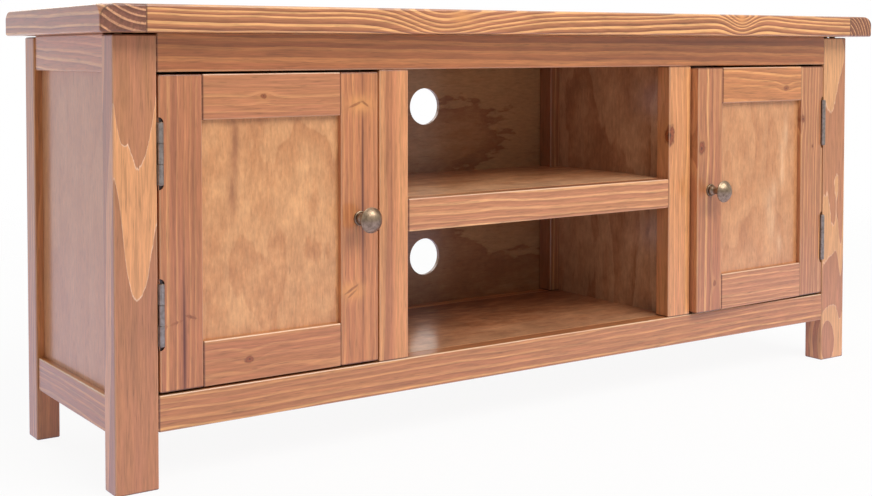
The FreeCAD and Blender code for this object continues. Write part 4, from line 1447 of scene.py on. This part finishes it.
@dataclass
class CrossScrews:
    """Screws with a cross recess, one on each place of a frame piece; shares are of a head's radius.

    Attributes:
        node: The frame's screws.
        body: The body they ride on.
        rounded: Whether their heads are rounded underneath, not countersunk.
        cells: Squares across a head's grid.
        recess: How far the cross reaches.
        recess_depth: How deep it is.
        arm: How far the cross's arms reach to each side, in half squares.
        round_from: Where the grid's rings begin to be round.
        square_share: How square the rings further in stay.
        countersunk: Radius and depth of a countersunk head's rim, and the depth of its cone.
        domed: Radius and depth of a rounded head's rim, and the depth of its foot.
        point_start: Where the point begins, as a share of the length.
        point_radius: Radius of the point's end.
    """

    HEAD_BAND = 0.98
    SHANK_END = 0.7

    node: str
    body: str
    rounded: bool = False
    cells: int = 8
    recess: float = 0.62
    recess_depth: float = 0.45
    arm: float = 1.1
    round_from: float = 0.7
    square_share: float = 0.75
    countersunk: Triple = (0.97, 0.12, 0.55)
    domed: Triple = (1.0, 0.5, 0.65)
    point_start: float = 0.85
    point_radius: float = 0.1

    def places(self, piece: Piece) -> list[tuple[Matrix, float, float, float]]:
        """Finds each screw of the frame piece.

        Args:
            piece: The frame's screws.

        Returns:
            For each screw its head's seat, with z out of the head, and in metres its head radius, shank
            radius and length.
        """
        shape = bmesh.new()
        shape.from_mesh(piece.data)
        bmesh.ops.remove_doubles(shape, verts=shape.verts, dist=WELD)
        seen = set()
        found = []
        for start in shape.verts:
            island, front = [], [start]
            while front:
                vert = front.pop()
                if vert not in seen:
                    seen.add(vert)
                    island.append(vert.co[:])
                    front += [edge.other_vert(vert) for edge in vert.link_edges]
            if island:
                found.append(self.measure(np.array(island)))
        shape.free()
        return found

    def measure(self, points: np.ndarray) -> tuple[Matrix, float, float, float]:
        """Measures one screw from its points.

        Args:
            points: The screw's points.

        Returns:
            Its head's seat, head radius, shank radius and length.
        """
        ends = points - points.mean(axis=0)
        axis = np.linalg.eigh(ends.T @ ends)[1][:, -1]
        reach = points @ axis
        middle = points.mean(axis=0)
        for _ in range(2):
            off = points - middle
            off = off - np.outer(off @ axis, axis)
            middle = middle + (off.min(axis=0) + off.max(axis=0)) / 2
        spread = np.linalg.norm(np.cross(points - middle, axis), axis=1)
        widest = reach[spread > spread.max() * self.HEAD_BAND].mean()
        if widest < (reach.min() + reach.max()) / 2:
            axis, reach = -axis, -reach
        tip = middle + axis * (reach.max() - middle @ axis)
        shank = spread[reach < reach.max() - self.SHANK_END * np.ptp(reach)].max()
        turn = Vector(axis).to_track_quat("Z", "Y").to_matrix().to_4x4()
        return Matrix.Translation(tip) @ turn, float(spread.max()), float(shank), float(np.ptp(reach))

    def disc(self, shape: Shape, head: float, before: set[bmesh.types.BMVert]) -> None:
        """Adds the round face of a head with its cross sunk in.

        Args:
            shape: The mesh to add to.
            head: Radius of the head.
            before: The points that were there already.
        """
        made = bmesh.ops.create_grid(shape, x_segments=self.cells, y_segments=self.cells, size=head)["verts"]
        for vert in made:
            longest = max(abs(vert.co.x), abs(vert.co.y))
            flat = vert.co.length
            if flat > 0:
                inner = flat / longest * self.square_share + (1 - self.square_share)
                vert.co *= longest / flat * (1.0 if longest > head * self.round_from else inner)
        faces = [face for face in shape.faces if face.verts[0] not in before]
        slot = [face for face in faces
                if min(abs(c) for c in face.calc_center_median()[:2]) < head / self.cells * self.arm
                and face.calc_center_median().length < head * self.recess]
        sunk = bmesh.ops.extrude_face_region(shape, geom=slot)["geom"]
        bmesh.ops.delete(shape, geom=slot, context="FACES_ONLY")
        bottom = [item for item in sunk if isinstance(item, bmesh.types.BMVert)]
        bmesh.ops.translate(shape, verts=bottom, vec=(0, 0, -self.recess_depth * head))

    def screw(self, shape: Shape, seat: Matrix, head: float, shank: float, length: float) -> None:
        """Adds one screw.

        Args:
            shape: The mesh to add to.
            seat: The head's seat, z out of the head.
            head: Radius of the head.
            shank: Radius of the shank.
            length: Length of the screw.
        """
        before = set(shape.verts)
        self.disc(shape, head, before)
        rim = [edge for edge in shape.edges if edge.is_boundary and edge.verts[0] not in before]
        rim_share, rim_depth, foot_depth = self.domed if self.rounded else self.countersunk
        rings = [(rim_share, -rim_depth * head), (shank / head, -foot_depth * head),
                 (shank / head, -self.point_start * length), (self.point_radius, -length)]
        for scale, depth in rings:
            ring = bmesh.ops.extrude_edge_only(shape, edges=rim)["geom"]
            for vert in (item for item in ring if isinstance(item, bmesh.types.BMVert)):
                flat = Vector((vert.co.x, vert.co.y, 0.0)).normalized() * head * scale
                vert.co = (flat.x, flat.y, depth)
            rim = [item for item in ring if isinstance(item, bmesh.types.BMEdge)]
        bmesh.ops.contextual_create(shape, geom=rim)
        fresh = [vert for vert in shape.verts if vert not in before]
        bmesh.ops.transform(shape, matrix=seat, verts=fresh)

    def build(self, nodes: dict[str, Piece]) -> None:
        """Makes the screws of one frame piece and dresses them.

        Args:
            nodes: The frame's pieces by name.
        """
        shape = bmesh.new()
        for seat, head, shank, length in self.places(nodes[self.node]):
            self.screw(shape, seat, head, shank, length)
        bmesh.ops.recalc_face_normals(shape, faces=shape.faces)
        SCREW_STEEL.dress(new_piece(f"cross_{self.node}", shape, self.body, "screw_steel", self.node))


@dataclass
class Door:
    """A framed door: two stiles, two rails and a panel."""

    line: HingeLine
    nodes: dict[str, Piece]

    def cuts(self) -> dict[str, Timber]:
        """Tells how the door's boards were sawn, by the pieces' names without the side."""
        raise NotImplementedError

    def peel(self) -> Veneer:
        """Tells how the door's panel was peeled."""
        raise NotImplementedError

    def dress(self) -> None:
        """Gives the door's boards and panel their finishes."""
        word = self.line.side.word
        for node, cut in self.cuts().items():
            PINE.dress(self.nodes[f"{word}_{node}"], cut, self.line.swing)
        PLY.dress(self.nodes[f"{word}_door_panel"], self.peel(), self.line.swing)
        Beech().dress(self.nodes[f"{word}_door_dowels"])
        SCREW_STEEL.dress(self.nodes[f"{word}_catch_plate"])


class LeftDoor(Door):
    """The left door, which rests shut."""

    def cuts(self) -> dict[str, Timber]:
        """Tells how the left door's boards were sawn.

        Returns:
            Each board's cut, by the piece's name without the side.
        """
        front = FRONT_PLANE
        upright, level = Grain.ALONG_Z, Grain.ALONG_X
        return {
            "door_hinge_stile": Timber(
                upright, Face.FRONT, heart=(60.0, 10.0), lean=(0.006, 0.0), ring=7.5, seed=11.0, sway=2.0,
                tone=1.01, tint=(1.0, 0.95, 1.0), contrast=0.68, blush=0.14, notched=0.95,
                knots=(
                    Knot((-492.5, front, 174.8), 7.0, 2.0, reach=1.5, stretch=0.2, dark=0.6, slant=-0.3),
                    Knot((-510.0, front, 170.5), 9.0, 2.0, reach=1.5, stretch=0.13, dark=0.35,
                         slant=0.25)),
                streaks=(
                    Streak((-500.8, front, 150.0), half_length=85.0, width=1.4, strength=1.0),
                    Streak((-500.2, front, 142.0), half_length=60.0, width=2.4, strength=0.6),
                    Streak((-489.0, front, 330.0), half_length=90.0, width=4.0, strength=0.3),
                    Streak((-512.0, front, 360.0), half_length=80.0, width=5.0, strength=0.3))),
            "door_knob_stile": Timber(
                upright, Face.FRONT, heart=(4.0, 14.0), lean=(0.0, -0.01), ring=6.0, seed=12.0, sway=2.0,
                tone=1.05, tint=(1.02, 0.96, 0.98), contrast=0.75,
                knots=(
                    Knot((-279.0, front, 391.6), 9.0, 4.0, reach=1.8, stretch=0.6, dark=0.0, halo=0.95),
                    Knot((-286.0, front, 391.4), 9.0, 0.0, reach=1.0, stretch=0.16, dark=0.6, slant=0.35),
                    Knot((-273.0, front, 391.8), 6.0, 0.0, reach=1.0, stretch=0.2, dark=0.6, slant=-0.6),
                    Knot((-293.0, front, 182.2), 9.0, 4.0, reach=1.8, stretch=0.6, dark=0.0, halo=0.95),
                    Knot((-292.0, front, 184.0), 10.0, 0.0, reach=1.0, stretch=0.14, dark=0.6, slant=0.5),
                    Knot((-292.0, front, 178.5), 7.0, 0.0, reach=1.0, stretch=0.16, dark=0.5, slant=0.6)),
                streaks=(Streak((-276.6, front, 300.0), half_length=150.0, width=1.4, strength=1.0),)),
            "door_top_rail": Timber(
                level, Face.FRONT, heart=(-46.0, 30.0), lean=(0.01, 0.006), ring=8.0, seed=13.0,
                contrast=0.6, tint=(1.02, 1.0, 1.06),
                knots=(Knot((-404.8, front, 403.2), 2.6, 5.0, halo=0.5),)),
            "door_bottom_rail": Timber(
                level, Face.FRONT, heart=(30.0, 46.0), lean=(-0.02, 0.02), ring=8.0, seed=14.0,
                contrast=0.6, tint=(1.0, 0.96, 1.0),
                knots=(Knot((-423.6, front, 122.3), 3.8, 5.0, halo=0.3),)),
        }

    def peel(self) -> Veneer:
        """Tells how the left door's panel was peeled.

        Returns:
            The panel's veneer.
        """
        face = -95.85
        return Veneer(
            Grain.ALONG_Z, Face.FRONT, seed=31.0, contrast=0.45, tint=(0.99, 0.95, 0.99), cloudy=0.13,
            figure=(0.006, 0.011),
            dark_marks=(
                Streak((-437.0, face, 352.0), half_length=34.0, width=4.4, strength=0.85),
                Streak((-440.5, face, 300.0), half_length=22.0, width=5.0, strength=0.75)))


class RightDoor(Door):
    """The right door, which rests a little ajar."""

    def cuts(self) -> dict[str, Timber]:
        """Tells how the right door's boards were sawn.

        Returns:
            Each board's cut, by the piece's name without the side.
        """
        front = -113.25
        upright, level = Grain.ALONG_Z, Grain.ALONG_X
        return {
            "door_hinge_stile": Timber(
                upright, Face.FRONT, heart=(40.0, 22.0), lean=(0.01, 0.02), ring=7.0, seed=21.0,
                contrast=0.65, tint=(0.95, 0.95, 1.02), notched=0.9,
                knots=(Knot((482.1, front, 352.6), 3.8, 4.0), Knot((504.5, front, 313.0), 1.6, 1.5))),
            "door_knob_stile": Timber(
                upright, Face.FRONT, heart=(14.0, 14.0), lean=(0.0, 0.01), ring=8.5, seed=22.0, sway=2.0,
                tone=0.95, tint=(1.0, 0.95, 1.0), contrast=1.0, blush=0.08,
                knots=(
                    Knot((263.4, front, 320.9), 6.2, 4.0, dark=1.0, halo=0.35),
                    Knot((291.0, front, 137.0), 2.8, 2.0, dark=0.8, halo=0.35))),
            "door_top_rail": Timber(
                level, Face.FRONT, heart=(36.0, 34.0), lean=(0.03, 0.01), ring=8.0, seed=23.0, tone=1.04,
                tint=(1.02, 0.97, 0.88), blush=-0.1, contrast=0.7,
                knots=(Knot((442.7, front, 397.6), 3.6, 4.0, dark=0.7),)),
            "door_bottom_rail": Timber(
                level, Face.FRONT, heart=(-60.0, 22.0), lean=(0.01, 0.0), ring=7.0, seed=24.0, tone=1.05,
                tint=(1.0, 1.02, 1.12), contrast=0.8),
        }

    def peel(self) -> Veneer:
        """Tells how the right door's panel was peeled.

        Returns:
            The panel's veneer.
        """
        face = -99.85
        faint = 0.65
        return Veneer(
            Grain.ALONG_Z, Face.FRONT, seed=32.6, contrast=0.35, tint=(0.93, 0.87, 0.93), cloudy=0.1,
            figure=(0.006, 0.011),
            light_marks=(
                Streak((451.0, face, 331.0), half_length=22.0, width=4.0, strength=faint),
                Streak((443.0, face, 300.0), half_length=26.0, width=5.0, strength=faint),
                Streak((444.0, face, 275.0), half_length=16.0, width=4.0, strength=faint),
                Streak((427.0, face, 252.0), half_length=16.0, width=6.0, strength=faint),
                Streak((414.0, face, 235.0), half_length=22.0, width=9.0, strength=faint),
                Streak((422.0, face, 205.0), half_length=20.0, width=8.0, strength=faint),
                Streak((438.0, face, 178.0), half_length=16.0, width=5.0, strength=faint)))


@dataclass
class Top:
    """The top: lengthwise planks between two cross-grain end boards."""

    nodes: dict[str, Piece]

    def dress(self) -> None:
        """Gives the planks and end boards their finishes."""
        edge = -133.25
        upper = 498.0
        long, deep = Grain.ALONG_X, Grain.ALONG_Y
        PINE.dress_all(self.nodes, {
            "top_plank_front": Timber(
                long, Face.UPPER, heart=(-40.0, 88.0), lean=(0.0, 0.004), ring=4.1, seed=41.0, sway=1.2,
                jag=0.2, worn=0.5, tone=1.0, tint=(1.0, 0.97, 1.0), late=0.34, fade=0.14, steady=0.65,
                dusk=0.9, contrast=1.25,
                knots=(
                    Knot((-155.0, edge, 490.0), 4.0, 0.0, reach=1.0, stretch=2.0, dark=0.0, halo=0.75,
                         through=False),
                    Knot((322.0, edge, 494.0), 3.4, 0.0, reach=1.0, stretch=1.2, dark=0.0, halo=0.8,
                         through=False)),
                bends=(
                    Bend((-190.0, edge, 488.0), reach=(48.0, 24.0, 60.0), push=8.5),
                    Bend((-140.0, edge, 488.0), reach=(84.0, 24.0, 60.0), push=7.2),
                    Bend((290.0, edge, 488.0), reach=(170.0, 24.0, 60.0), push=-6.0),
                    Bend((322.0, edge, 494.0), reach=(27.0, 20.0, 24.0), push=11.5))),
            "top_plank_middle": Timber(
                long, Face.UPPER, heart=(-16.0, 60.0), lean=(0.012, 0.012), ring=6.0, seed=42.0, worn=0.1,
                tone=0.94, tint=(1.0, 0.95, 0.82),
                knots=(Knot((130.0, 6.75, upper), 7.0, 6.0),)),
            "top_plank_rear": Timber(
                long, Face.UPPER, heart=(20.0, 52.0), lean=(-0.01, -0.014), ring=6.6, seed=43.0, worn=0.2,
                tone=0.94, tint=(1.0, 0.95, 0.82),
                knots=(Knot((-310.0, 96.75, upper), 6.0, 5.0),)),
            # The extra blue in this board's tint is a painted reflection: the cool sheen its left face
            # shows.
            "top_end_left": Timber(
                deep, Face.UPPER, heart=(34.0, -62.0), lean=(0.02, 0.01), ring=8.5, seed=44.0, sway=1.5,
                late=0.22, fade=0.16, steady=0.7, contrast=1.15, worn=0.25, tint=(1.0, 1.02, 1.2)),
            "top_end_right": Timber(
                deep, Face.UPPER, heart=(-40.0, 40.0), lean=(0.0, 0.02), ring=6.0, seed=45.0, sway=1.5,
                late=0.17, fade=0.12, steady=0.8, contrast=1.0, worn=0.25, tone=1.08),
        })


@dataclass
class Carcass:
    """Legs, rails, stiles and panels of the stand."""

    nodes: dict[str, Piece]

    def dress_legs(self) -> None:
        """Gives the legs their finishes."""
        upright = Grain.ALONG_Z
        front = FRONT_PLANE
        flat = 1000.0
        PINE.dress_all(self.nodes, {
            "front_left_leg": Timber(
                upright, Face.FRONT, heart=(-11.13, 173.56), lean=(-0.0425, -0.0729), ring=36.7,
                seed=51.0, start=-3.724, late=0.365, fade=0.012, crisp=0.012, rim=0.8, steady=0.9,
                dusk=0.3, uneven=0.0, sway=0.2, jag=0.42, contrast=0.9, tint=(1.0, 1.05, 1.22),
                light_tint=(1.0, 0.85, 0.82), notched=0.95,
                bends=(
                    Bend((-552.2, front, 307.2), reach=(120.0, 13.5, flat), push=-7.79),
                    Bend((-571.4, front, 403.3), reach=(68.2, 8.0, flat), push=-11.03),
                    Bend((-542.5, front, 457.6), reach=(88.6, 13.9, flat), push=-17.39),
                    Bend((-579.0, front, 292.8), reach=(120.0, 11.3, flat), push=8.33),
                    Bend((-551.0, front, 322.0), reach=(26.0, 10.0, flat), push=1.5))),
            "front_right_leg": Timber(
                upright, Face.FRONT, heart=(-37.73, 155.73), lean=(-0.0189, -0.0533), ring=14.34,
                seed=52.0, start=-10.258, late=0.415, fade=0.02, crisp=0.02, rim=0.5, steady=0.9,
                dusk=0.3, uneven=0.0, sway=0.3, jag=0.36, contrast=0.7, tone=1.04, tint=(0.96, 1.0, 1.16),
                notched=0.95,
                bends=(
                    Bend((557.3, front, 199.4), reach=(48.6, 13.3, flat), push=-6.27),
                    Bend((570.5, front, 446.2), reach=(25.5, 19.5, flat), push=-4.99),
                    Bend((540.4, front, 32.2), reach=(40.8, 18.3, flat), push=13.24),
                    Bend((572.9, front, 370.2), reach=(117.7, 37.2, flat), push=-8.58),
                    Bend((573.3, front, 181.9), reach=(120.0, 8.0, flat), push=-11.71))),
            "rear_left_leg": Timber(
                upright, Face.LEFT, heart=(40.0, 30.0), lean=(0.01, 0.01), ring=6.0, seed=53.0, tone=1.04,
                tint=(1.0, 0.98, 0.86)),
            "rear_right_leg": Timber(
                upright, Face.RIGHT, heart=(-36.0, 30.0), lean=(0.01, 0.01), ring=6.4, seed=54.0),
        })

    def dress_rails(self) -> None:
        """Gives the long and side rails their finishes."""
        long, deep = Grain.ALONG_X, Grain.ALONG_Y
        front = FRONT_PLANE
        PINE.dress_all(self.nodes, {
            "front_top_rail": Timber(
                long, Face.FRONT, heart=(60.0, 14.0), lean=(0.012, 0.0), ring=13.0, seed=61.0, tone=0.86,
                tint=(0.97, 0.8, 0.7), late=0.28, fade=0.3, steady=0.5, contrast=0.75, blush=-0.1,
                streaks=(
                    Streak((300.0, front, 445.0), half_length=260.0, width=60.0, strength=0.1),
                    Streak((330.0, front, 462.0), half_length=230.0, width=2.2, strength=0.5),
                    Streak((140.0, front, 440.0), half_length=160.0, width=2.6, strength=0.35))),
            "front_bottom_rail": Timber(
                long, Face.FRONT, heart=(-70.0, 20.0), lean=(-0.006, 0.0), ring=8.0, seed=62.0,
                contrast=0.95),
            "rear_top_rail": Timber(
                long, Face.BACK, heart=(48.0, 30.0), lean=(0.01, 0.01), ring=7.0, seed=63.0),
            "rear_bottom_rail": Timber(
                long, Face.BACK, heart=(-50.0, 26.0), lean=(0.01, 0.01), ring=7.0, seed=64.0),
            "shelf_rail": Timber(
                long, Face.FRONT, heart=(-64.0, 16.0), lean=(0.012, 0.0), ring=10.0, seed=65.0, tone=1.1,
                tint=(1.0, 1.04, 1.2), contrast=1.15),
            # The extra blue in this rail's tint is a painted reflection: the cool sheen of the left side.
            "left_side_top_rail": Timber(
                deep, Face.LEFT, heart=(46.0, 30.0), lean=(0.03, 0.03), ring=8.0, seed=66.0, tone=1.28,
                tint=(1.0, 1.06, 1.25), contrast=1.15),
            "left_side_bottom_rail": Timber(
                deep, Face.LEFT, heart=(-50.0, 30.0), lean=(0.01, 0.0), ring=7.0, seed=67.0,
                tint=(1.0, 0.95, 0.76)),
            "right_side_top_rail": Timber(
                deep, Face.RIGHT, heart=(44.0, 30.0), lean=(0.02, 0.02), ring=7.4, seed=68.0),
            "right_side_bottom_rail": Timber(
                deep, Face.RIGHT, heart=(-52.0, 24.0), lean=(0.01, 0.0), ring=7.0, seed=69.0),
            "cross_rails": Timber(
                deep, Face.FRONT, heart=(-52.0, 24.0), lean=(0.01, 0.0), ring=7.0, seed=70.0),
            "floor_cleats": Timber(
                long, Face.FRONT, heart=(-40.0, 24.0), lean=(0.01, 0.0), ring=6.0, seed=71.0),
            "shelf_cleats": Timber(
                deep, Face.FRONT, heart=(-40.0, 24.0), lean=(0.01, 0.0), ring=6.0, seed=72.0),
        })

    def dress_stiles(self) -> None:
        """Gives the stiles between the bays their finishes."""
        upright = Grain.ALONG_Z
        front = FRONT_PLANE
        dim = (0.95, 0.98, 1.0)
        PINE.dress_all(self.nodes, {
            "left_mid_stile": Timber(
                upright, Face.FRONT, heart=(-50.0, 16.0), lean=(0.006, 0.0), ring=17.0, seed=81.0,
                late=0.3, fade=0.4, uneven=2.0, sway=4.0, tone=1.22, tint=(1.0, 1.0, 1.05), contrast=0.6,
                streaks=(
                    Streak((-244.0, front, 250.0), half_length=420.0, width=7.0, strength=0.32),
                    Streak((-237.0, front, 300.0), half_length=160.0, width=1.6, strength=0.3))),
            "right_mid_stile": Timber(
                upright, Face.FRONT, heart=(46.0, 30.0), lean=(0.0, 0.0), ring=9.0, seed=82.0, sway=1.5,
                tone=1.3, tint=(1.02, 1.09, 1.15), contrast=0.6, blush=-0.1,
                knots=(
                    Knot((214.5, front, 339.0), 8.4, 5.0, reach=3.6, stretch=1.5, dark=1.0, halo=0.4,
                         through=False),),
                streaks=(Streak((213.0, front, 250.0), half_length=900.0, width=1.2, strength=0.26),)),
            "left_divider_rear_stile": Timber(
                upright, Face.FRONT, heart=(-40.0, 20.0), lean=(0.01, 0.0), ring=7.0, seed=83.0, tone=0.7,
                tint=dim, worn=0.0),
            "right_divider_rear_stile": Timber(
                upright, Face.FRONT, heart=(44.0, 20.0), lean=(0.01, 0.0), ring=7.0, seed=84.0, tone=0.7,
                tint=dim, worn=0.0),
        })

    def dress_panels(self) -> None:
        """Gives the ply panels their finishes."""
        upright, level = Grain.ALONG_Z, Grain.ALONG_X
        back, floor, shelf = 134.75, 97.0, 281.0
        flat = 1000.0
        stained = (0.9, 0.98, 1.28)
        peels = {
            # The extra blue in this panel's tint is a painted reflection: the cool sheen of the left side.
            "left_side_panel": Veneer(
                upright, Face.LEFT, seed=91.0, contrast=0.25, cloudy=0.05, tint=(1.0, 1.0, 1.2)),
            "right_side_panel": Veneer(upright, Face.RIGHT, seed=92.0, contrast=0.35, cloudy=0.07),
            "left_divider_panel": Veneer(
                upright, Face.RIGHT, seed=93.0, tone=0.8, tint=stained, cloudy=0.2),
            "right_divider_panel": Veneer(
                upright, Face.LEFT, seed=94.0, tone=0.8, tint=stained, cloudy=0.2),
            "back_panel": Veneer(
                level, Face.FRONT, seed=95.0, levels=1.7, contrast=1.5, tone=0.54, jag=0.4,
                figure=(0.0018, 0.007),
                swells=(
                    Bend((17.7, back, 326.6), reach=(125.0, 62.0, flat), push=0.9),
                    Bend((-6.8, back, 163.0), reach=(80.0, 56.0, flat), push=0.9),
                    Bend((250.0, back, 110.0), reach=(200.0, 60.0, flat), push=0.8)),
                # A broad dark band low on the back, by the bay floor: painted shade in the corner.
                dark_marks=(Streak((0.0, 142.0, 125.0), half_length=400.0, width=70.0, strength=0.4),)),
            # Bay floor: the broad dark band at the back is painted shade, and the pale band at the front is
            # painted light.
            "floor_panel": Veneer(
                level, Face.UPPER, seed=96.0, tone=0.82, tint=(0.96, 0.84, 0.9), cloudy=0.3, gloss=0.17,
                dark_marks=(Streak((0.0, 150.0, floor), half_length=700.0, width=110.0, strength=1.0),),
                light_marks=(Streak((0.0, -86.0, floor), half_length=700.0, width=60.0, strength=0.5),)),
            # Shelf: the broad dark band at the back is painted shade, and the pale band at the front is
            # painted light.
            "shelf_panel": Veneer(
                level, Face.UPPER, seed=97.0, tone=1.2, tint=(1.0, 0.96, 1.05), cloudy=0.25, gloss=0.17,
                dark_marks=(Streak((0.0, 142.0, shelf), half_length=700.0, width=70.0, strength=0.5),),
                light_marks=(Streak((0.0, -86.0, shelf), half_length=700.0, width=60.0, strength=0.7),)),
        }
        for name, peel in peels.items():
            PLY.dress(self.nodes[name], peel)

    def dress_fittings(self) -> None:
        """Gives the dowels and catches their finishes."""
        Beech().dress(self.nodes["frame_dowels"])
        MouldedPlastic().dress(self.nodes["catch_bodies"])

    def dress(self) -> None:
        """Gives every piece of the carcass its finish."""
        self.dress_legs()
        self.dress_rails()
        self.dress_stiles()
        self.dress_panels()
        self.dress_fittings()


@dataclass
class Camera:
    """The photograph's camera: its place in metres, its heading in degrees and its frame in pixels."""

    eye: Triple = (-1.09091, -1.29461, 0.44768)
    yaw: float = 30.966
    pitch: float = 1.974
    roll: float = -0.214
    focal_pixels: float = 1282.64
    middle_pixels: Span = (284.45, 98.52)
    frame_pixels: tuple[int, int] = (872, 496)
    sensor: float = 36.0

    def build(self) -> None:
        """Makes the camera and gives it to the scene."""
        data = bpy.data.cameras.new("photo_camera")
        width, height = self.frame_pixels
        data.sensor_width = self.sensor
        data.lens = self.focal_pixels * self.sensor / width
        data.shift_x = (width / 2 - self.middle_pixels[0]) / width
        data.shift_y = (self.middle_pixels[1] - height / 2) / width
        camera = in_scene("photo_camera", data)
        turn = Euler((math.radians(90 - self.pitch), 0.0, math.radians(-self.yaw))).to_matrix()
        turn = turn @ Matrix.Rotation(math.radians(self.roll), 3, "Z")
        camera.matrix_world = Matrix.Translation(self.eye) @ turn.to_4x4()
        bpy.context.scene.camera = camera


@dataclass(frozen=True)
class Lamp:
    """A soft lamp: where it hangs, what it points at, its width and height, its watts and its hue."""

    name: str
    place: Triple
    aim: Triple
    size: Span
    power: float
    tint: Triple

    def hang(self) -> None:
        """Adds the lamp to the scene, out of the camera's sight."""
        data = bpy.data.lights.new(self.name, "AREA")
        data.shape = "RECTANGLE"
        data.size, data.size_y = self.size
        data.energy = self.power
        data.color = self.tint
        lamp = in_scene(self.name, data)
        lamp.location = self.place
        lamp.visible_camera = False
        lamp.rotation_euler = (Vector(self.aim) - Vector(self.place)).to_track_quat("-Z", "Y").to_euler()


@dataclass
class Studio:
    """A white studio: a floor that fades into the surroundings, soft lamps and white walls, in metres.

    Attributes:
        floor_size: The floor's width and depth.
        floor_white: The floor's paint.
        glow: How far the floor that is seen shines by itself.
        fade: Where the floor begins to fade, and where it is gone.
        ambient: How strongly the surroundings light the stand.
        front_level: How bright the front wall is in reflections.
        front_turn: Over which directions the front wall begins.
        left_turn: Over which directions the left wall begins.
        upper_turn: Over which directions the left wall ends upwards.
        cool: The hue of the floor's light and of the left wall's.
        warm: The hue of the other walls' light.
        lamps: The soft lamps.
    """

    floor_size: float = 9.0
    floor_white: Triple = (0.92, 0.92, 0.92)
    glow: float = 0.92
    fade: Span = (1.0, 2.6)
    ambient: float = 0.42
    front_level: float = 0.5
    front_turn: Span = (-0.3, 0.6)
    left_turn: Span = (0.0, 0.6)
    upper_turn: Span = (0.0, 0.2)
    cool: Triple = (0.99, 0.98, 1.28)
    warm: Triple = (1.0, 0.98, 0.94)
    lamps: tuple[Lamp, ...] = (
        Lamp("key", (0.5, -1.9, 2.3), (0.0, -0.1, 0.25), (2.4, 1.4), 62.0, (1.0, 0.98, 0.95)),
        Lamp("rear_fill", (-0.6, 2.4, 1.9), (0.0, 0.1, 0.25), (2.0, 1.2), 22.0, (0.96, 0.98, 1.0)))

    def floor(self) -> None:
        """Lays the floor."""
        shape = bmesh.new()
        bmesh.ops.create_grid(shape, x_segments=2, y_segments=2, size=self.floor_size / 2)
        mesh = mesh_of("studio_floor", shape)
        piece = in_scene("studio_floor", mesh)
        material, sheet = NodeSheet.for_material("floor_white")
        camera, glossy = sheet.rays("Camera", "Glossy")
        place = sheet.coordinates("Object")
        length = sheet.add("ShaderNodeVectorMath", {"operation": "LENGTH"}, {0: place})
        far = Reading(sheet, length.outputs[1]).rise(*self.fade)
        paint = sheet.add("ShaderNodeBsdfDiffuse", {}, {"Color": opaque(self.floor_white)})
        tint = sheet.mix(camera, self.cool, WHITE)
        light = sheet.add("ShaderNodeEmission", {}, {"Color": tint, "Strength": 1.0})
        clear = sheet.add("ShaderNodeBsdfTransparent", {}, {})
        near = sheet.mix_shaders(camera.most(glossy) * self.glow, paint, light)
        whole = sheet.mix_shaders(far, near, clear)
        sheet.add("ShaderNodeOutputMaterial", {}, {"Surface": whole.outputs[0]})
        mesh.materials.append(material)

    def surroundings(self) -> None:
        """Makes the white surroundings, which light the stand more softly than they show."""
        world = bpy.data.worlds.new("studio_white")
        world.use_nodes = True
        bpy.context.scene.world = world
        sheet = NodeSheet(world.node_tree)
        camera, glossy, through = sheet.rays("Camera", "Glossy", "Transmission")
        way = sheet.split(sheet.coordinates("Generated"))
        front = (0.0 - way[1]).rise(*self.front_turn)
        room = 1.0 - front * (1.0 - self.front_level)
        shown = camera.most(through).most(glossy * room)
        strength = shown * (1.0 - self.ambient) + self.ambient
        left = (0.0 - way[0]).rise(*self.left_turn) * (1.0 - front) * (1.0 - way[2].rise(*self.upper_turn))
        tint = sheet.mix(camera, sheet.mix(left, self.warm, self.cool), WHITE)
        light = sheet.add("ShaderNodeBackground", {}, {"Color": tint, "Strength": strength})
        sheet.add("ShaderNodeOutputWorld", {}, {"Surface": light.outputs[0]})

    def build(self) -> None:
        """Sets up the floor, the surroundings and the lamps."""
        self.floor()
        self.surroundings()
        for lamp in self.lamps:
            lamp.hang()


def main() -> None:
    """Builds the stand's looks in order."""
    logging.basicConfig(level=logging.INFO, format="%(name)s: %(message)s")
    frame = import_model()
    bpy.context.scene.view_settings.view_transform = "Standard"
    nodes = frame["nodes"]
    lines = tuple(HingeLine.of(side, frame["joints"]) for side in Side)
    Camera().build()
    Studio().build()
    Top(nodes).dress()
    Carcass(nodes).dress()
    for line, door in zip(lines, (LeftDoor, RightDoor)):
        word = line.side.word
        door(line, nodes).dress()
        Knob(line).build()
        CrossScrews(f"{word}_door_hinge_screws", f"{word}_door").build(nodes)
        CrossScrews(f"{word}_knob_screw", f"{word}_door", rounded=True).build(nodes)
    Hinges(lines).build()
    for name in ("frame_screws", "frame_hinge_screws"):
        CrossScrews(name, "cabinet").build(nodes)


if __name__ == "__main__":
    main()
